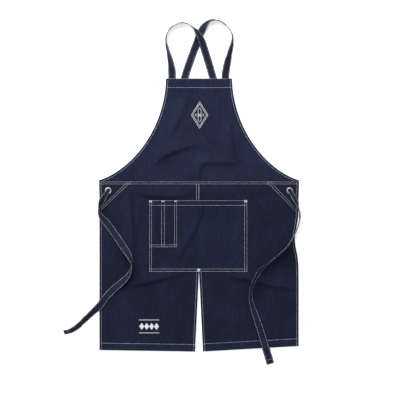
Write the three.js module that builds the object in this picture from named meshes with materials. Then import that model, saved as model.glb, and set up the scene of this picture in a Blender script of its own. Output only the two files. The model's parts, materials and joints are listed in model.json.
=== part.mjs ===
// A cross-back bib apron in stiff denim, laid flat on its back with the front up.
// Millimetres, +Z up, +Y from the skirt towards the bib. The origin is at the cloth's bottom centre.
//
// Two skirt panels meet in a centre seam that opens into a slit, a bib is felled to them at the waist,
// and a patch pocket with two pen slots is sewn over the seam. Each of the two straps is one length.
// It is sewn under a top corner of the bib, makes a shoulder loop that stands on its edge, crosses the
// other strap, runs down behind the bib, comes out through the eyelet at the opposite waist corner and
// ends as a tie on the front.
import * as THREE from "three";

// ---- Sizes ----
const clearance = 0.3; // between pieces that lie on each other
const denim = 0.8; // one layer of cloth
const strapWidth = 25;
const strapThickness = 2.0;

const skirtWidth = 650;
const skirtDrop = 553; // from the waist seam to the hem, at the slit
const leftHemRise = 5; // soft folds pull the hem up towards the sides
const rightHemRise = 18;
const slitLength = 261;
const slitMouth = 25; // how far the two halves stand apart at the hem
const bibHeight = 335;
const bibTopWidth = 215;
const bibCornerHeight = 4; // the bib's straight side above the waist seam
const foldGap = 0.3; // between cloth on the two sides of a fold line

const sideHem = 10; // widths of the turned edges
const bottomHem = 22;
const bibHem = 28;
const binding = 10;
const seamAllowance = 10; // of the felled seams
const turnIn = 0.5; // of a hem's or facing's outer edge, inside the panel's

const eyeletInset = 30; // from the side edge, and from the waist seam
const patchAlongWaist = 88;
const patchAlongSide = 84;
const eyeletBore = 6.3; // radius of the hole that the strap goes through
const eyeletWall = 0.6;
const eyeletFlange = 10.5; // outer radius
const flangeThickness = 1.0;
const washerThickness = 0.7;
const washerRim = 10;

const pocketWidth = 320;
const pocketHeight = 234;
const pocketDrop = 61; // from the waist seam to the pocket's mouth
const pocketShift = -2.4; // of its middle from the middle of the apron
const pocketHem = 18;
const pocketEdge = 8; // the flat margin that is sewn down
const pocketSlope = 12; // over which the cloth rises from that margin
const pocketGape = 6.5; // how far the mouth stands open
const penSlotWidths = [45.4, 46.8];
const penSlotHeight = 153;
const penStitch = 6; // half the flat strip along a sewn line
const penSlope = 8;
const penGape = 6.2;

const tackLength = 6;
const tackWidth = 3;
const tackHeight = 0.6;

const sewnSpread = 88; // from the middle to where a loop leaves the bib
const runSpread = 46; // and to where it comes back and goes under it
const runSlant = 0.2; // sideways for each step down, where it goes under
const anchorLength = 26; // of the strap's sewn end
const bunchWidth = 8; // of a strap gathered in its eyelet
const bunchThickness = 3;
const lying = 0.1; // of a strap's edge above the table

// ---- Levels, from the table up ----
const washerLevel = strapThickness + clearance;
const liningLevel = washerLevel + washerThickness + clearance; // hems, patches and seam allowances
const panelLevel = liningLevel + denim + clearance;
const frontLevel = panelLevel + denim + clearance; // what lies on the front
const hemThickness = liningLevel + denim; // turned twice, down to the table
const sewnLevel = liningLevel - clearance - strapThickness; // the strap's end, sewn under the bib's hem

// ---- Cloths ----
const cloth = (name, color, roughness, metalness = 0) =>
  new THREE.MeshStandardMaterial({ name, color, roughness, metalness });
const denimCloth = cloth("denim", 0x252b41, 0.92);
const strapCloth = cloth("strap", 0x232840, 0.9);
const threadCloth = cloth("thread", 0xe6e6ea, 0.75);
const eyeletMetal = cloth("eyelet", 0xa7a3a6, 0.35, 0.9);

const apron = new THREE.Group();
const waist = new THREE.Group(); // everything below is placed from the middle of the waist seam
waist.position.y = (skirtDrop - bibHeight) / 2;
apron.add(waist);

function add(name, geometry, material = denimCloth) {
  const mesh = new THREE.Mesh(geometry, material);
  mesh.name = name;
  waist.add(mesh);
}

// ---- Building blocks ----
const half = skirtWidth / 2;
const sides = [
  { name: "left", sign: -1, sideDrop: skirtDrop - leftHemRise },
  { name: "right", sign: 1, sideDrop: skirtDrop - rightHemRise },
];
const eyeletAt = (sign) => new THREE.Vector2(sign * (half - eyeletInset), -eyeletInset);

function slab(shape, level, thickness = denim) {
  const settings = { depth: thickness, bevelEnabled: false, curveSegments: 20 };
  return new THREE.ExtrudeGeometry(shape, settings).translate(0, 0, level);
}

// A shape through [x, y] corners, always counter-clockwise.
function outline(corners) {
  const points = corners.map(([x, y]) => new THREE.Vector2(x, y));
  return new THREE.Shape(THREE.ShapeUtils.isClockWise(points) ? points.reverse() : points);
}

// An upright rectangle.
const lap = (x0, x1, y0, y1) => outline([[x0, y0], [x1, y0], [x1, y1], [x0, y1]]);

function punch(shape, centre, radius) {
  const hole = new THREE.Path();
  hole.absarc(centre.x, centre.y, radius, 0, 2 * Math.PI, true);
  shape.holes.push(hole);
  return shape;
}

// Splits the underside's quads along the same diagonals as the top's, so a bent cloth keeps its thickness.
function splitAlike(box) {
  const { array } = box.getIndex();
  const { start, count } = box.groups[5];
  for (let i = start; i < start + count; i += 6) {
    const [a, b, d, , c] = array.slice(i, i + 6);
    array.set([a, b, c, a, c, d], i);
  }
  return box;
}

// A cloth with fold lines at xs and ys, whose underside lies at level(x, y).
function foldedCloth(xs, ys, level) {
  const geometry = new THREE.BoxGeometry(
    xs.length - 1, ys.length - 1, denim, xs.length - 1, ys.length - 1, 1,
  );
  const place = geometry.getAttribute("position");
  for (let i = 0; i < place.count; i++) {
    const x = xs[Math.round(place.getX(i) + (xs.length - 1) / 2)];
    const y = ys[Math.round(place.getY(i) + (ys.length - 1) / 2)];
    place.setXYZ(i, x, y, level(x, y) + denim / 2 + place.getZ(i));
  }
  return splitAlike(geometry);
}

// A flat strap along a route of stations [x, y, roll, rests on, width, thickness]. The roll, in degrees,
// lifts the strap's right-hand edge, seen along the route. Its lower edge lies on what it rests on.
function strap(stations, steps) {
  const points = stations.map(([x, y]) => new THREE.Vector3(x, y, 0));
  const route = new THREE.CatmullRomCurve3(points, false, "centripetal");
  const between = (t, value) => {
    const at = Math.min(t * (stations.length - 1), stations.length - 1 - 1e-9);
    const i = Math.floor(at);
    return THREE.MathUtils.lerp(value(stations[i]), value(stations[i + 1]), at - i);
  };
  const roll = (t) => THREE.MathUtils.degToRad(between(t, (station) => station[2]));
  const width = (t) => between(t, (station) => station[4] ?? strapWidth);
  const thickness = (t) => between(t, (station) => station[5] ?? strapThickness);
  const middle = (t) => {
    const lift = width(t) * Math.abs(Math.sin(roll(t))) + thickness(t) * Math.abs(Math.cos(roll(t)));
    return route.getPoint(t).setZ(between(t, (station) => station[3]) + lift / 2);
  };
  const geometry = new THREE.BoxGeometry(1, 1, 1, steps, 1, 1);
  const place = geometry.getAttribute("position");
  const up = new THREE.Vector3(0, 0, 1);
  for (let i = 0; i < place.count; i++) {
    const t = place.getX(i) + 0.5;
    const along = middle(Math.min(t + 1e-3, 1)).sub(middle(Math.max(t - 1e-3, 0))).normalize();
    const across = new THREE.Vector3().crossVectors(along, up).normalize();
    across.multiplyScalar(Math.cos(roll(t))).addScaledVector(up, Math.sin(roll(t)));
    across.addScaledVector(along, -across.dot(along)).normalize();
    const through = new THREE.Vector3().crossVectors(across, along);
    const point = middle(t);
    point.addScaledVector(across, -place.getY(i) * width(t));
    point.addScaledVector(through, place.getZ(i) * thickness(t));
    place.setXYZ(i, point.x, point.y, point.z);
  }
  return splitAlike(geometry);
}

// ---- Bib ----
// Each armhole edge is one curve from the waist corner to the top corner.
const armhole = (sign) =>
  new THREE.CubicBezierCurve(
    new THREE.Vector2(sign * half, bibCornerHeight),
    new THREE.Vector2(sign * half * 0.68, bibHeight * 0.11),
    new THREE.Vector2(sign * bibTopWidth * 0.515, bibHeight * 0.5),
    new THREE.Vector2((sign * bibTopWidth) / 2, bibHeight),
  );

function bibPanel() {
  const edge = armhole(1).getPoints(24);
  const points = [new THREE.Vector2(half, foldGap / 2), ...edge];
  const mirrored = points.map((p) => new THREE.Vector2(-p.x, p.y)).reverse();
  return slab(new THREE.Shape([...points, ...mirrored]), panelLevel);
}

// The binding follows the armhole under the panel and stops short of the hem at the top.
function armholeBinding(sign) {
  const curve = armhole(sign);
  const steps = 24;
  const outer = [];
  const inner = [];
  for (let i = 0; i <= steps; i++) {
    const t = 0.1 + (0.8 * i) / steps;
    const p = curve.getPoint(t);
    const along = curve.getTangent(t);
    const inward = new THREE.Vector2(-along.y * sign, along.x * sign);
    outer.push(p.clone().addScaledVector(inward, turnIn));
    inner.push(p.clone().addScaledVector(inward, binding));
  }
  return slab(new THREE.Shape([...outer, ...inner.reverse()]), liningLevel);
}

function bibTopHem() {
  const reach = bibTopWidth / 2 - 1;
  return slab(lap(-reach, reach, bibHeight - bibHem, bibHeight - turnIn), liningLevel);
}

add("bib_panel", bibPanel());
add("bib_top_hem", bibTopHem());
for (const { name, sign } of sides) add(`armhole_binding_${name}`, armholeBinding(sign));

// ---- Skirt ----
// The hem runs straight from the slit to the side, and the slit opens from its top.
const slitTop = skirtDrop - slitLength;
const slitEdge = (drop) => (drop <= slitTop ? 0 : (slitMouth / 2) * ((drop - slitTop) / slitLength));
const hemDrop = (x, sideDrop) =>
  THREE.MathUtils.mapLinear(x, slitMouth / 2, half, skirtDrop, sideDrop);
// Where a strip between two distances from the middle meets the bottom hem.
const aboveHem = (x0, x1, sideDrop) =>
  Math.min(hemDrop(x0, sideDrop), hemDrop(x1, sideDrop)) - bottomHem - clearance;

function skirtPanel({ sign, sideDrop }) {
  const inner = foldGap / 2;
  const shape = outline([
    [sign * inner, -foldGap / 2],
    [sign * half, -foldGap / 2],
    [sign * half, -sideDrop],
    [sign * (slitMouth / 2 + inner), -skirtDrop],
    [sign * inner, -slitTop],
  ]);
  return slab(punch(shape, eyeletAt(sign), eyeletBore + eyeletWall + clearance), panelLevel);
}

function sideHemStrip({ sign, sideDrop }) {
  const inner = half - sideHem;
  const outer = half - turnIn;
  const foot = -aboveHem(inner, outer, sideDrop);
  return slab(lap(sign * inner, sign * outer, foot, -patchAlongSide - clearance), 0, hemThickness);
}

function bottomHemStrip({ sign, sideDrop }) {
  const inner = slitMouth / 2 + foldGap + turnIn;
  const outer = half - turnIn;
  const foot = (x) => -hemDrop(x, sideDrop) + turnIn;
  const top = (x) => -hemDrop(x, sideDrop) + bottomHem;
  const corners = [[inner, foot(inner)], [outer, foot(outer)], [outer, top(outer)], [inner, top(inner)]];
  return slab(outline(corners.map(([x, y]) => [sign * x, y])), 0, hemThickness);
}

function slitFacing({ sign, sideDrop }) {
  const top = slitTop + sideHem;
  const edge = (drop) => slitEdge(drop) + foldGap / 2 + turnIn;
  const foot = aboveHem(slitMouth / 2, edge(skirtDrop) + sideHem, sideDrop);
  return slab(
    outline([
      [sign * edge(top), -top],
      [sign * (edge(top) + sideHem), -top],
      [sign * (edge(foot) + sideHem), -foot],
      [sign * edge(foot), -foot],
    ]),
    0, hemThickness,
  );
}

function cornerPatch({ sign }) {
  const reach = half - 1;
  const top = -seamAllowance - clearance;
  const shape = outline([
    [sign * reach, top],
    [sign * reach, -patchAlongSide],
    [sign * (reach - 6), -patchAlongSide],
    [sign * (half - patchAlongWaist), top - 6],
    [sign * (half - patchAlongWaist), top],
  ]);
  return slab(punch(shape, eyeletAt(sign), eyeletBore + eyeletWall + clearance), liningLevel);
}

for (const side of sides) {
  add(`skirt_panel_${side.name}`, skirtPanel(side));
  add(`side_hem_${side.name}`, sideHemStrip(side));
  add(`bottom_hem_${side.name}`, bottomHemStrip(side));
  add(`slit_facing_${side.name}`, slitFacing(side));
  add(`corner_patch_${side.name}`, cornerPatch(side));
}

// The felled seams: a lapped allowance under the cloth along the waist and down to the slit.
add("waist_seam_lap", slab(lap(-half + 1, half - 1, -seamAllowance, -foldGap / 2), liningLevel));
add("centre_seam_lap", slab(lap(-seamAllowance, 0, -slitTop, -seamAllowance - clearance), liningLevel));

// ---- Eyelets: a barrel with a rolled flange on the front, and a washer on the back ----
function eyeletBarrel(sign) {
  const wall = eyeletBore + eyeletWall;
  const top = frontLevel + flangeThickness;
  const roll = flangeThickness / 2;
  const profile = [
    [eyeletBore, washerLevel],
    [wall, washerLevel],
    [wall, frontLevel],
    [eyeletFlange - roll, frontLevel],
    [eyeletFlange, frontLevel + roll],
    [eyeletFlange - roll, top],
    [eyeletBore + roll, top],
    [eyeletBore, frontLevel + roll],
    [eyeletBore, washerLevel],
  ];
  const geometry = new THREE.LatheGeometry(profile.map(([r, z]) => new THREE.Vector2(r, z)), 36);
  const centre = eyeletAt(sign);
  return geometry.rotateX(Math.PI / 2).translate(centre.x, centre.y, 0);
}

function eyeletWasher(sign) {
  const shape = new THREE.Shape();
  const centre = eyeletAt(sign);
  shape.absarc(centre.x, centre.y, washerRim, 0, 2 * Math.PI, false);
  return slab(punch(shape, centre, eyeletBore + eyeletWall + clearance), washerLevel, washerThickness);
}

for (const { name, sign } of sides) {
  add(`eyelet_${name}`, eyeletBarrel(sign), eyeletMetal);
  add(`eyelet_washer_${name}`, eyeletWasher(sign), eyeletMetal);
}

// ---- Pockets ----
const ramp = (distance, flat, slope) => THREE.MathUtils.clamp((distance - flat) / slope, 0, 1);
const pocketLeft = pocketShift - pocketWidth / 2;
const pocketRight = pocketShift + pocketWidth / 2;
const pocketTop = -pocketDrop;
const pocketFoot = pocketTop - pocketHeight;

function pocketLevel(x, y) {
  const fromSide = Math.min(x - pocketLeft, pocketRight - x);
  const fromEdges = ramp(fromSide, pocketEdge, pocketSlope) * ramp(y - pocketFoot, pocketEdge, pocketSlope);
  return frontLevel + pocketGape * fromEdges;
}

const rises = (edge, flat, slope, inward) => [edge, edge + inward * flat, edge + inward * (flat + slope)];
const pocketXs = [
  ...rises(pocketLeft, pocketEdge, pocketSlope, 1),
  ...rises(pocketRight, pocketEdge, pocketSlope, -1).reverse(),
];
const pocketYs = [...rises(pocketFoot, pocketEdge, pocketSlope, 1), pocketTop];
add("pocket_panel", foldedCloth(pocketXs, pocketYs, pocketLevel));

const under = denim + clearance; // a hem is turned to the inside
add(
  "pocket_hem",
  foldedCloth(
    pocketXs.slice(2, 4), [pocketTop - pocketHem, pocketTop - turnIn],
    (x, y) => pocketLevel(x, y) - under,
  ),
);

// The pen slots share the pocket's left edge and mouth, and a sewn line divides them.
const penFoot = pocketTop - penSlotHeight;
const penDivider = pocketLeft + penSlotWidths[0];
const penRight = penDivider + penSlotWidths[1];

function penLevel(x, y) {
  const fromLine = x < penDivider
    ? Math.min(ramp(x - pocketLeft, pocketEdge, pocketSlope), ramp(penDivider - x, penStitch, penSlope))
    : Math.min(ramp(x - penDivider, penStitch, penSlope), ramp(penRight - x, penStitch, penSlope));
  return pocketLevel(x, y) + under + penGape * fromLine * ramp(y - penFoot, penStitch, penSlope);
}

const penXs = [
  ...rises(pocketLeft, pocketEdge, pocketSlope, 1),
  ...rises(penDivider, penStitch, penSlope, -1).reverse().slice(0, 2),
  ...rises(penDivider, penStitch, penSlope, 1).slice(1),
  ...rises(penRight, penStitch, penSlope, -1).reverse(),
];
const penYs = [...rises(penFoot, penStitch, penSlope, 1), pocketTop];
add("pen_pocket_panel", foldedCloth(penXs, penYs, penLevel));

// ---- Bar tacks: short bars of thread at the ends of the seams ----
function barTack(x, y, level) {
  return new THREE.BoxGeometry(tackLength, tackWidth, tackHeight).translate(x, y, level + tackHeight / 2);
}

const tacks = [
  ["pocket_left", pocketLeft + pocketEdge / 2, pocketTop - 2, penLevel],
  ["pocket_right", pocketRight - pocketEdge / 2, pocketTop - 2, pocketLevel],
  ["slit", 0, pocketFoot + 2, pocketLevel],
  ["pen_divider", penDivider, pocketTop - 2, penLevel],
  ["pen_right", penRight - tackLength / 2, pocketTop - 2, penLevel],
];
for (const [name, x, y, level] of tacks) {
  add(`bar_tack_${name}`, barTack(x, y, level(x, y) + under), threadCloth);
}

// ---- Straps ----
// Shoulder loops, from the middle of the bib's top edge. The left one starts at the bib's left corner and
// lies over the right one where they cross.
const loopFoot = bibHeight + foldGap / 2;
const square = 5; // a loop leaves the fold line at a right angle
const loopEnd = (x, way) => {
  const end = [[x, square, 0, lying], [x, 0, 0, 0]];
  return way > 0 ? end : [[x, 0, 0, sewnLevel], [x, square, 0, 0.6]];
};
const leftLoop = [
  ...loopEnd(-sewnSpread, -1),
  [-88.5, 21, 8, lying],
  [-91, 47, 36, lying],
  [-99.5, 84, 66, lying],
  [-106, 117, 86, lying],
  [-104.5, 139, 90, lying],
  [-94, 159, 90, lying],
  [-77, 173, 90, lying],
  [-57, 180, 90, lying],
  [-33.5, 174.5, 90, 2.4],
  [-14, 161.5, 74, 4.2],
  [-3, 147, 48, 4.4],
  [10, 122, 20, 3.4],
  [24, 84, 6, 1],
  [34.8, 47, 0, lying],
  [42.5, 21, 0, lying],
  ...loopEnd(runSpread, 1),
];
const rightLoop = [
  ...loopEnd(sewnSpread, -1),
  [88, 21, -6, lying],
  [91.3, 47, -24, lying],
  [100.8, 84, -50, lying],
  [108.6, 117, -76, lying],
  [108.5, 139, -90, lying],
  [102.4, 154, -90, lying],
  [88.7, 171, -90, lying],
  [71, 184, -90, lying],
  [53.3, 189, -88, lying],
  [37, 187, -70, lying],
  [23, 177, -42, lying],
  [12, 162, -14, lying],
  [2.9, 146, -2, lying],
  [-6.8, 122, 0, lying],
  [-20.8, 84, 0, lying],
  [-34.8, 47, 0, lying],
  [-43.5, 21, 0, lying],
  ...loopEnd(-runSpread, 1),
];
const placed = (stations, x0, y0) => stations.map(([x, y, ...rest]) => [x0 + x, y0 + y, ...rest]);

// Ties, from the middle of their eyelet: x and y, roll, and the width and thickness where they are bunched
// up. Each climbs over the eyelet's flange, spreads over the front and comes down past the cloth's edge.
const overFlange = frontLevel + flangeThickness + clearance;
const edgeReach = [15, 60]; // past the edge a tie starts to come down, and reaches the table

function tieLevel(x, y) {
  const { sideDrop } = sides[x < 0 ? 0 : 1];
  const past = Math.max(Math.abs(x) - half, -y - hemDrop(Math.abs(x), sideDrop));
  const fall = THREE.MathUtils.clamp((past - edgeReach[0]) / (edgeReach[1] - edgeReach[0]), 0, 1);
  return THREE.MathUtils.lerp(frontLevel + clearance, lying, fall);
}

function tie(sign, heading, route) {
  const eye = eyeletAt(sign);
  const from = (reach) => [eye.x + reach * heading[0], eye.y + reach * heading[1]];
  return [
    [...from(-3), 0, washerLevel + washerThickness, bunchWidth, bunchThickness],
    [...from(eyeletBore - 2), 0, overFlange + 0.3, bunchWidth, bunchThickness],
    [...from(eyeletFlange + 2), 0, overFlange + 0.1, bunchWidth + 2, bunchThickness],
    ...placed(route, eye.x, eye.y).map(([x, y, roll, ...size]) => [x, y, roll, tieLevel(x, y), ...size]),
  ];
}

const leftTie = tie(-1, [-0.53, -0.85], [
  [-16, -26, 24, 17, 2.4],
  [-26, -46, 66],
  [-29.5, -63, 104],
  [-21, -84, 150],
  [-2, -108, 176],
  [24, -144, 180],
  [50, -183, 190],
  [70, -215, 232],
  [77, -242, 270],
  [68, -272, 312],
  [47, -295, 342],
  [21, -317, 358],
  [-5, -343, 368],
  [-26, -372, 386],
  [-44, -389, 400],
  [-73, -416, 404],
  [-102, -443, 408],
  [-125, -456, 410],
  [-143, -460, 412],
]);
const rightTie = tie(1, [0.56, -0.83], [
  [16, -28, 30, 17, 2.4],
  [26, -52, 72],
  [32, -76, 90],
  [30, -100, 90],
  [20, -130, 90],
  [-3.5, -173, 86],
  [-33, -204, 83],
  [-65, -231, 78],
  [-94.5, -254, 62],
  [-112.4, -282, 55],
  [-125.4, -314, 62],
  [-128.6, -347, 60],
  [-122, -376, 42],
  [-107.5, -418, 22],
  [-91.2, -467, 8],
  [-76.6, -516, 0],
  [-69.2, -540, 0],
  [-62.6, -563, 0],
]);

// The run behind the bib bends towards the eyelet at the opposite waist corner, and parts at the fold.
function hiddenRun(sign, fromTop, toTop, rows) {
  const top = bibHeight - foldGap / 2;
  const eye = eyeletAt(1);
  const drop = top - eye.y;
  const bend = (eye.x - runSpread - runSlant * drop) / drop ** 2;
  const edges = [-1, 1].map((edge) =>
    Array.from({ length: rows + 1 }, (_, i) => {
      const y = THREE.MathUtils.lerp(fromTop, toTop, i / rows);
      const down = top - y;
      const slant = runSlant + 2 * bend * down;
      const x = runSpread + runSlant * down + bend * down ** 2;
      return [sign * (x + (edge * strapWidth * Math.hypot(1, slant)) / 2), y];
    }),
  );
  return slab(outline([...edges[0], ...edges[1].reverse()]), 0, strapThickness);
}

function sewnEnd(sign) {
  const edges = [sign * sewnSpread - strapWidth / 2, sign * sewnSpread + strapWidth / 2];
  return slab(lap(...edges, bibHeight - anchorLength, bibHeight - foldGap / 2), sewnLevel, strapThickness);
}

const strapSteps = 72;
const straps = [
  { name: "strap_left", sign: -1, loop: leftLoop, end: rightTie },
  { name: "strap_right", sign: 1, loop: rightLoop, end: leftTie },
];
for (const { name, sign, loop, end } of straps) {
  add(`${name}_sewn_end`, sewnEnd(sign), strapCloth);
  add(`${name}_loop`, strap(placed(loop, 0, loopFoot), strapSteps), strapCloth);
  add(`${name}_back_run`, hiddenRun(-sign, bibHeight - foldGap / 2, foldGap / 2, 12), strapCloth);
  add(`${name}_waist_run`, hiddenRun(-sign, -foldGap / 2, -eyeletInset, 2), strapCloth);
  add(`${name}_tie`, strap(end, strapSteps), strapCloth);
}

export default apron;
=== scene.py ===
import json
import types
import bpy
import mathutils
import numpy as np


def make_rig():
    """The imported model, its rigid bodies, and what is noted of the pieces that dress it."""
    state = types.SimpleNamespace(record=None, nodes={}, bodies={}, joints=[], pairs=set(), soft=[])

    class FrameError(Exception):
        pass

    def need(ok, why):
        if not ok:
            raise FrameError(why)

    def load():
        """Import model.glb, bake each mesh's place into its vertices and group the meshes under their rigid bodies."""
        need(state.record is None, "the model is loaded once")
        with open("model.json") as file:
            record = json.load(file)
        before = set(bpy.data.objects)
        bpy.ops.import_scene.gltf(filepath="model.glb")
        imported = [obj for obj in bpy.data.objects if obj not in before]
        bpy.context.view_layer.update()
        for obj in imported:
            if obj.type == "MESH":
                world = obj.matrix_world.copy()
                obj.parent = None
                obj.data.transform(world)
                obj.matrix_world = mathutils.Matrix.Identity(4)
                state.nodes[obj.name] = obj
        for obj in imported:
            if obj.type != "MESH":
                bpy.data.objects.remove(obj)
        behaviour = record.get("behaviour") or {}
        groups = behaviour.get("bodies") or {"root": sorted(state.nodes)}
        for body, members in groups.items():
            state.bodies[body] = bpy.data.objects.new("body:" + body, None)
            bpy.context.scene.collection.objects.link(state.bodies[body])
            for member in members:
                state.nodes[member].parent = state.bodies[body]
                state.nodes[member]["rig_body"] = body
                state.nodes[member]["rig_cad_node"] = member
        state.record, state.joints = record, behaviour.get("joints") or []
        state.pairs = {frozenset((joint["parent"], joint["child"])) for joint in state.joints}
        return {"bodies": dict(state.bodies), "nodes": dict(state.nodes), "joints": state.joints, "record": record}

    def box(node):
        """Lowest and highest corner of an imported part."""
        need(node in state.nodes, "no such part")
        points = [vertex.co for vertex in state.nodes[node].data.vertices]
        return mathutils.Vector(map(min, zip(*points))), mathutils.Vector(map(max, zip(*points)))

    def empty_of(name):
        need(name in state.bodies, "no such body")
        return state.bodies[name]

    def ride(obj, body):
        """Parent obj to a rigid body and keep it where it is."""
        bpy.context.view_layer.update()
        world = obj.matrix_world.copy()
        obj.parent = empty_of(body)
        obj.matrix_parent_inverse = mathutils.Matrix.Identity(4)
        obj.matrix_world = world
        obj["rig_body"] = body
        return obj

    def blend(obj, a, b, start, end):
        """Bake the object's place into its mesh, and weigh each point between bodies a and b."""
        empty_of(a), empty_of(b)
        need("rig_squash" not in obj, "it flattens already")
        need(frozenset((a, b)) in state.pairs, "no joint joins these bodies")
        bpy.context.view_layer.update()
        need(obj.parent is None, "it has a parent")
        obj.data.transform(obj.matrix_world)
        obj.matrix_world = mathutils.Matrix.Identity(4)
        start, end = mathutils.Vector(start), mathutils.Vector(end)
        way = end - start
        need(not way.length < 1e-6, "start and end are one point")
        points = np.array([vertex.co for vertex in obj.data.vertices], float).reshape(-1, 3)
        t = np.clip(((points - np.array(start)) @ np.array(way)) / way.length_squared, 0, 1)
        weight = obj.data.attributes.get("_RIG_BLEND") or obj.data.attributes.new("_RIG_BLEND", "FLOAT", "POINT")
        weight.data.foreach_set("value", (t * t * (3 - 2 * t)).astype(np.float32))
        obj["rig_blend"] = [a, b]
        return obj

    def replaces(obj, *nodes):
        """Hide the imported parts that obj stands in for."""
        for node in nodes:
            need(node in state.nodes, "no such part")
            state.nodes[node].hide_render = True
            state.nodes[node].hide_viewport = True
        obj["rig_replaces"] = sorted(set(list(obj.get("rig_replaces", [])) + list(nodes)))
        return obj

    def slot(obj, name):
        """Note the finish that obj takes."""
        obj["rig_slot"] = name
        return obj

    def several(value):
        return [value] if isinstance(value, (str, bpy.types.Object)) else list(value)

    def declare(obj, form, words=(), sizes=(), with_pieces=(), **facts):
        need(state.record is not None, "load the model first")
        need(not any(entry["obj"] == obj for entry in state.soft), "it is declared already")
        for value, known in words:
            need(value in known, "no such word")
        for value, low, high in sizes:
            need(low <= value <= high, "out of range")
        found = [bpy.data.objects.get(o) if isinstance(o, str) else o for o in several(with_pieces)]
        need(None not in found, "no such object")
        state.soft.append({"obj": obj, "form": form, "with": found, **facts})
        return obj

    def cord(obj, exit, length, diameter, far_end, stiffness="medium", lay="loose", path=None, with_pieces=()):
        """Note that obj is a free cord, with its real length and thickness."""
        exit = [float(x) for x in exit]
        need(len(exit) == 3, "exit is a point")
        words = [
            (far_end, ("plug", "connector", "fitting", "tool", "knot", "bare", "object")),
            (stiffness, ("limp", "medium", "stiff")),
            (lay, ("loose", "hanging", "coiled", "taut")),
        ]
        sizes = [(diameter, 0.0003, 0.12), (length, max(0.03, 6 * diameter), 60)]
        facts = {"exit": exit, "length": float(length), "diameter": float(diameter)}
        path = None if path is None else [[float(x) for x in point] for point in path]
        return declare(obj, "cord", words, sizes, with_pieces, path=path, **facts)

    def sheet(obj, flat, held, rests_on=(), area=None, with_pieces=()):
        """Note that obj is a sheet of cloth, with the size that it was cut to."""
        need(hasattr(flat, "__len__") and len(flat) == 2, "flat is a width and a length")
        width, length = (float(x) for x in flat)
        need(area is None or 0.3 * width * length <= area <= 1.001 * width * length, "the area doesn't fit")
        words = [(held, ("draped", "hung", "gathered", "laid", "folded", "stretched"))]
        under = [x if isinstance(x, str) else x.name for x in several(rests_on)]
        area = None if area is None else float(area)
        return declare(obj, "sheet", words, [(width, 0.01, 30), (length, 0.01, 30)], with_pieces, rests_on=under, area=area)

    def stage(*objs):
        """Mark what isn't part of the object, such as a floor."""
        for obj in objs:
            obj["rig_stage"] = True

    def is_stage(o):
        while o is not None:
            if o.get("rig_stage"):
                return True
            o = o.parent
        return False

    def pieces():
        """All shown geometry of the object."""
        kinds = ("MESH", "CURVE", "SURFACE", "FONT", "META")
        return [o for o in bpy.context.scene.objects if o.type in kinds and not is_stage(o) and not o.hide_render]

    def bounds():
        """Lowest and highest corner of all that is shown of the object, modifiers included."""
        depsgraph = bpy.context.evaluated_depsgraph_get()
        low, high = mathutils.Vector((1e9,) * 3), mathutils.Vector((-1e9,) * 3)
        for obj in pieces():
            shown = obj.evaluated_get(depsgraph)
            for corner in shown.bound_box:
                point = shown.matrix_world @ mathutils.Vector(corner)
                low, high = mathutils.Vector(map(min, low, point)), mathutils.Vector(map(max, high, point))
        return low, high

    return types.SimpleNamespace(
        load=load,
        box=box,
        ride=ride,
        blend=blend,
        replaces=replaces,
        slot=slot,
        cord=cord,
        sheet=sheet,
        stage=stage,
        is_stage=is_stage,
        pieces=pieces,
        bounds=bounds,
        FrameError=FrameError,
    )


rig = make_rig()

bl_info = {
    "name": "Denim Bib Apron",
    "version": (1, 0, 0),
    "blender": (4, 5, 0),
    "location": "View3D > Sidebar > Apron",
    "description": "Builds a cross-back denim apron, laid flat, around its packed frame",
    "category": "Object",
}

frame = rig.load()
CAD_BOX = [[float(v) for v in corner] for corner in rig.bounds()]

import json
import math

import bpy
import numpy as np

SIZE_FILE = "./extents.json"
MM = 0.001

# ---- Places, taken from the frame ----
_bib_low, _bib_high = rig.box("bib_panel")
_skirt_low, _skirt_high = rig.box("skirt_panel_left")
_pocket_low, _pocket_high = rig.box("pocket_panel")
_pen_low, _pen_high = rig.box("pen_pocket_panel")
HALF = _bib_high.x
FOLD_GAP = (_bib_low.y - _skirt_high.y) / 2
WAIST = _bib_low.y - FOLD_GAP
BIB_HEIGHT = _bib_high.y - WAIST
CLOTH_MIDDLE = (_bib_low.z + _bib_high.z) / 2
CAD_FRONT = _bib_high.z
TOP_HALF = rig.box("bib_top_hem")[1].x + 1 * MM
SKIRT_DROP = WAIST - _skirt_low.y
SIDE_DROP = {-1: SKIRT_DROP - 5 * MM, 1: SKIRT_DROP - 18 * MM}
SLIT_LENGTH = 261 * MM
SLIT_MOUTH = 25 * MM
EYELET = {
    sign: sum((np.array(corner[:2]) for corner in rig.box(node)), np.zeros(2)) / 2
    for sign, node in ((-1, "eyelet_left"), (1, "eyelet_right"))
}
FLANGE_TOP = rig.box("eyelet_left")[1].z
SIDES = ((-1, "left"), (1, "right"))
LAYER_GAP = 0.15 * MM
EDGE_REACH = 1.6 * MM
EDGE_ROUND = 1.2 * MM


# ---- Settings a user may change ----
def length(name, description, default, low=0.0, high=10.0):
    """A length property."""
    return bpy.props.FloatProperty(
        name=name, description=description, default=default, min=low, max=high,
        precision=4, subtype="DISTANCE", unit="LENGTH",
    )


def colour(name, description, default):
    """A colour property."""
    return bpy.props.FloatVectorProperty(
        name=name, description=description, default=default, size=3, min=0.0, max=1.0,
        subtype="COLOR",
    )


def factor(name, description, default, low=0.0, high=10.0):
    """A plain number property."""
    return bpy.props.FloatProperty(
        name=name, description=description, default=default, min=low, max=high,
        subtype="FACTOR",
    )


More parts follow.
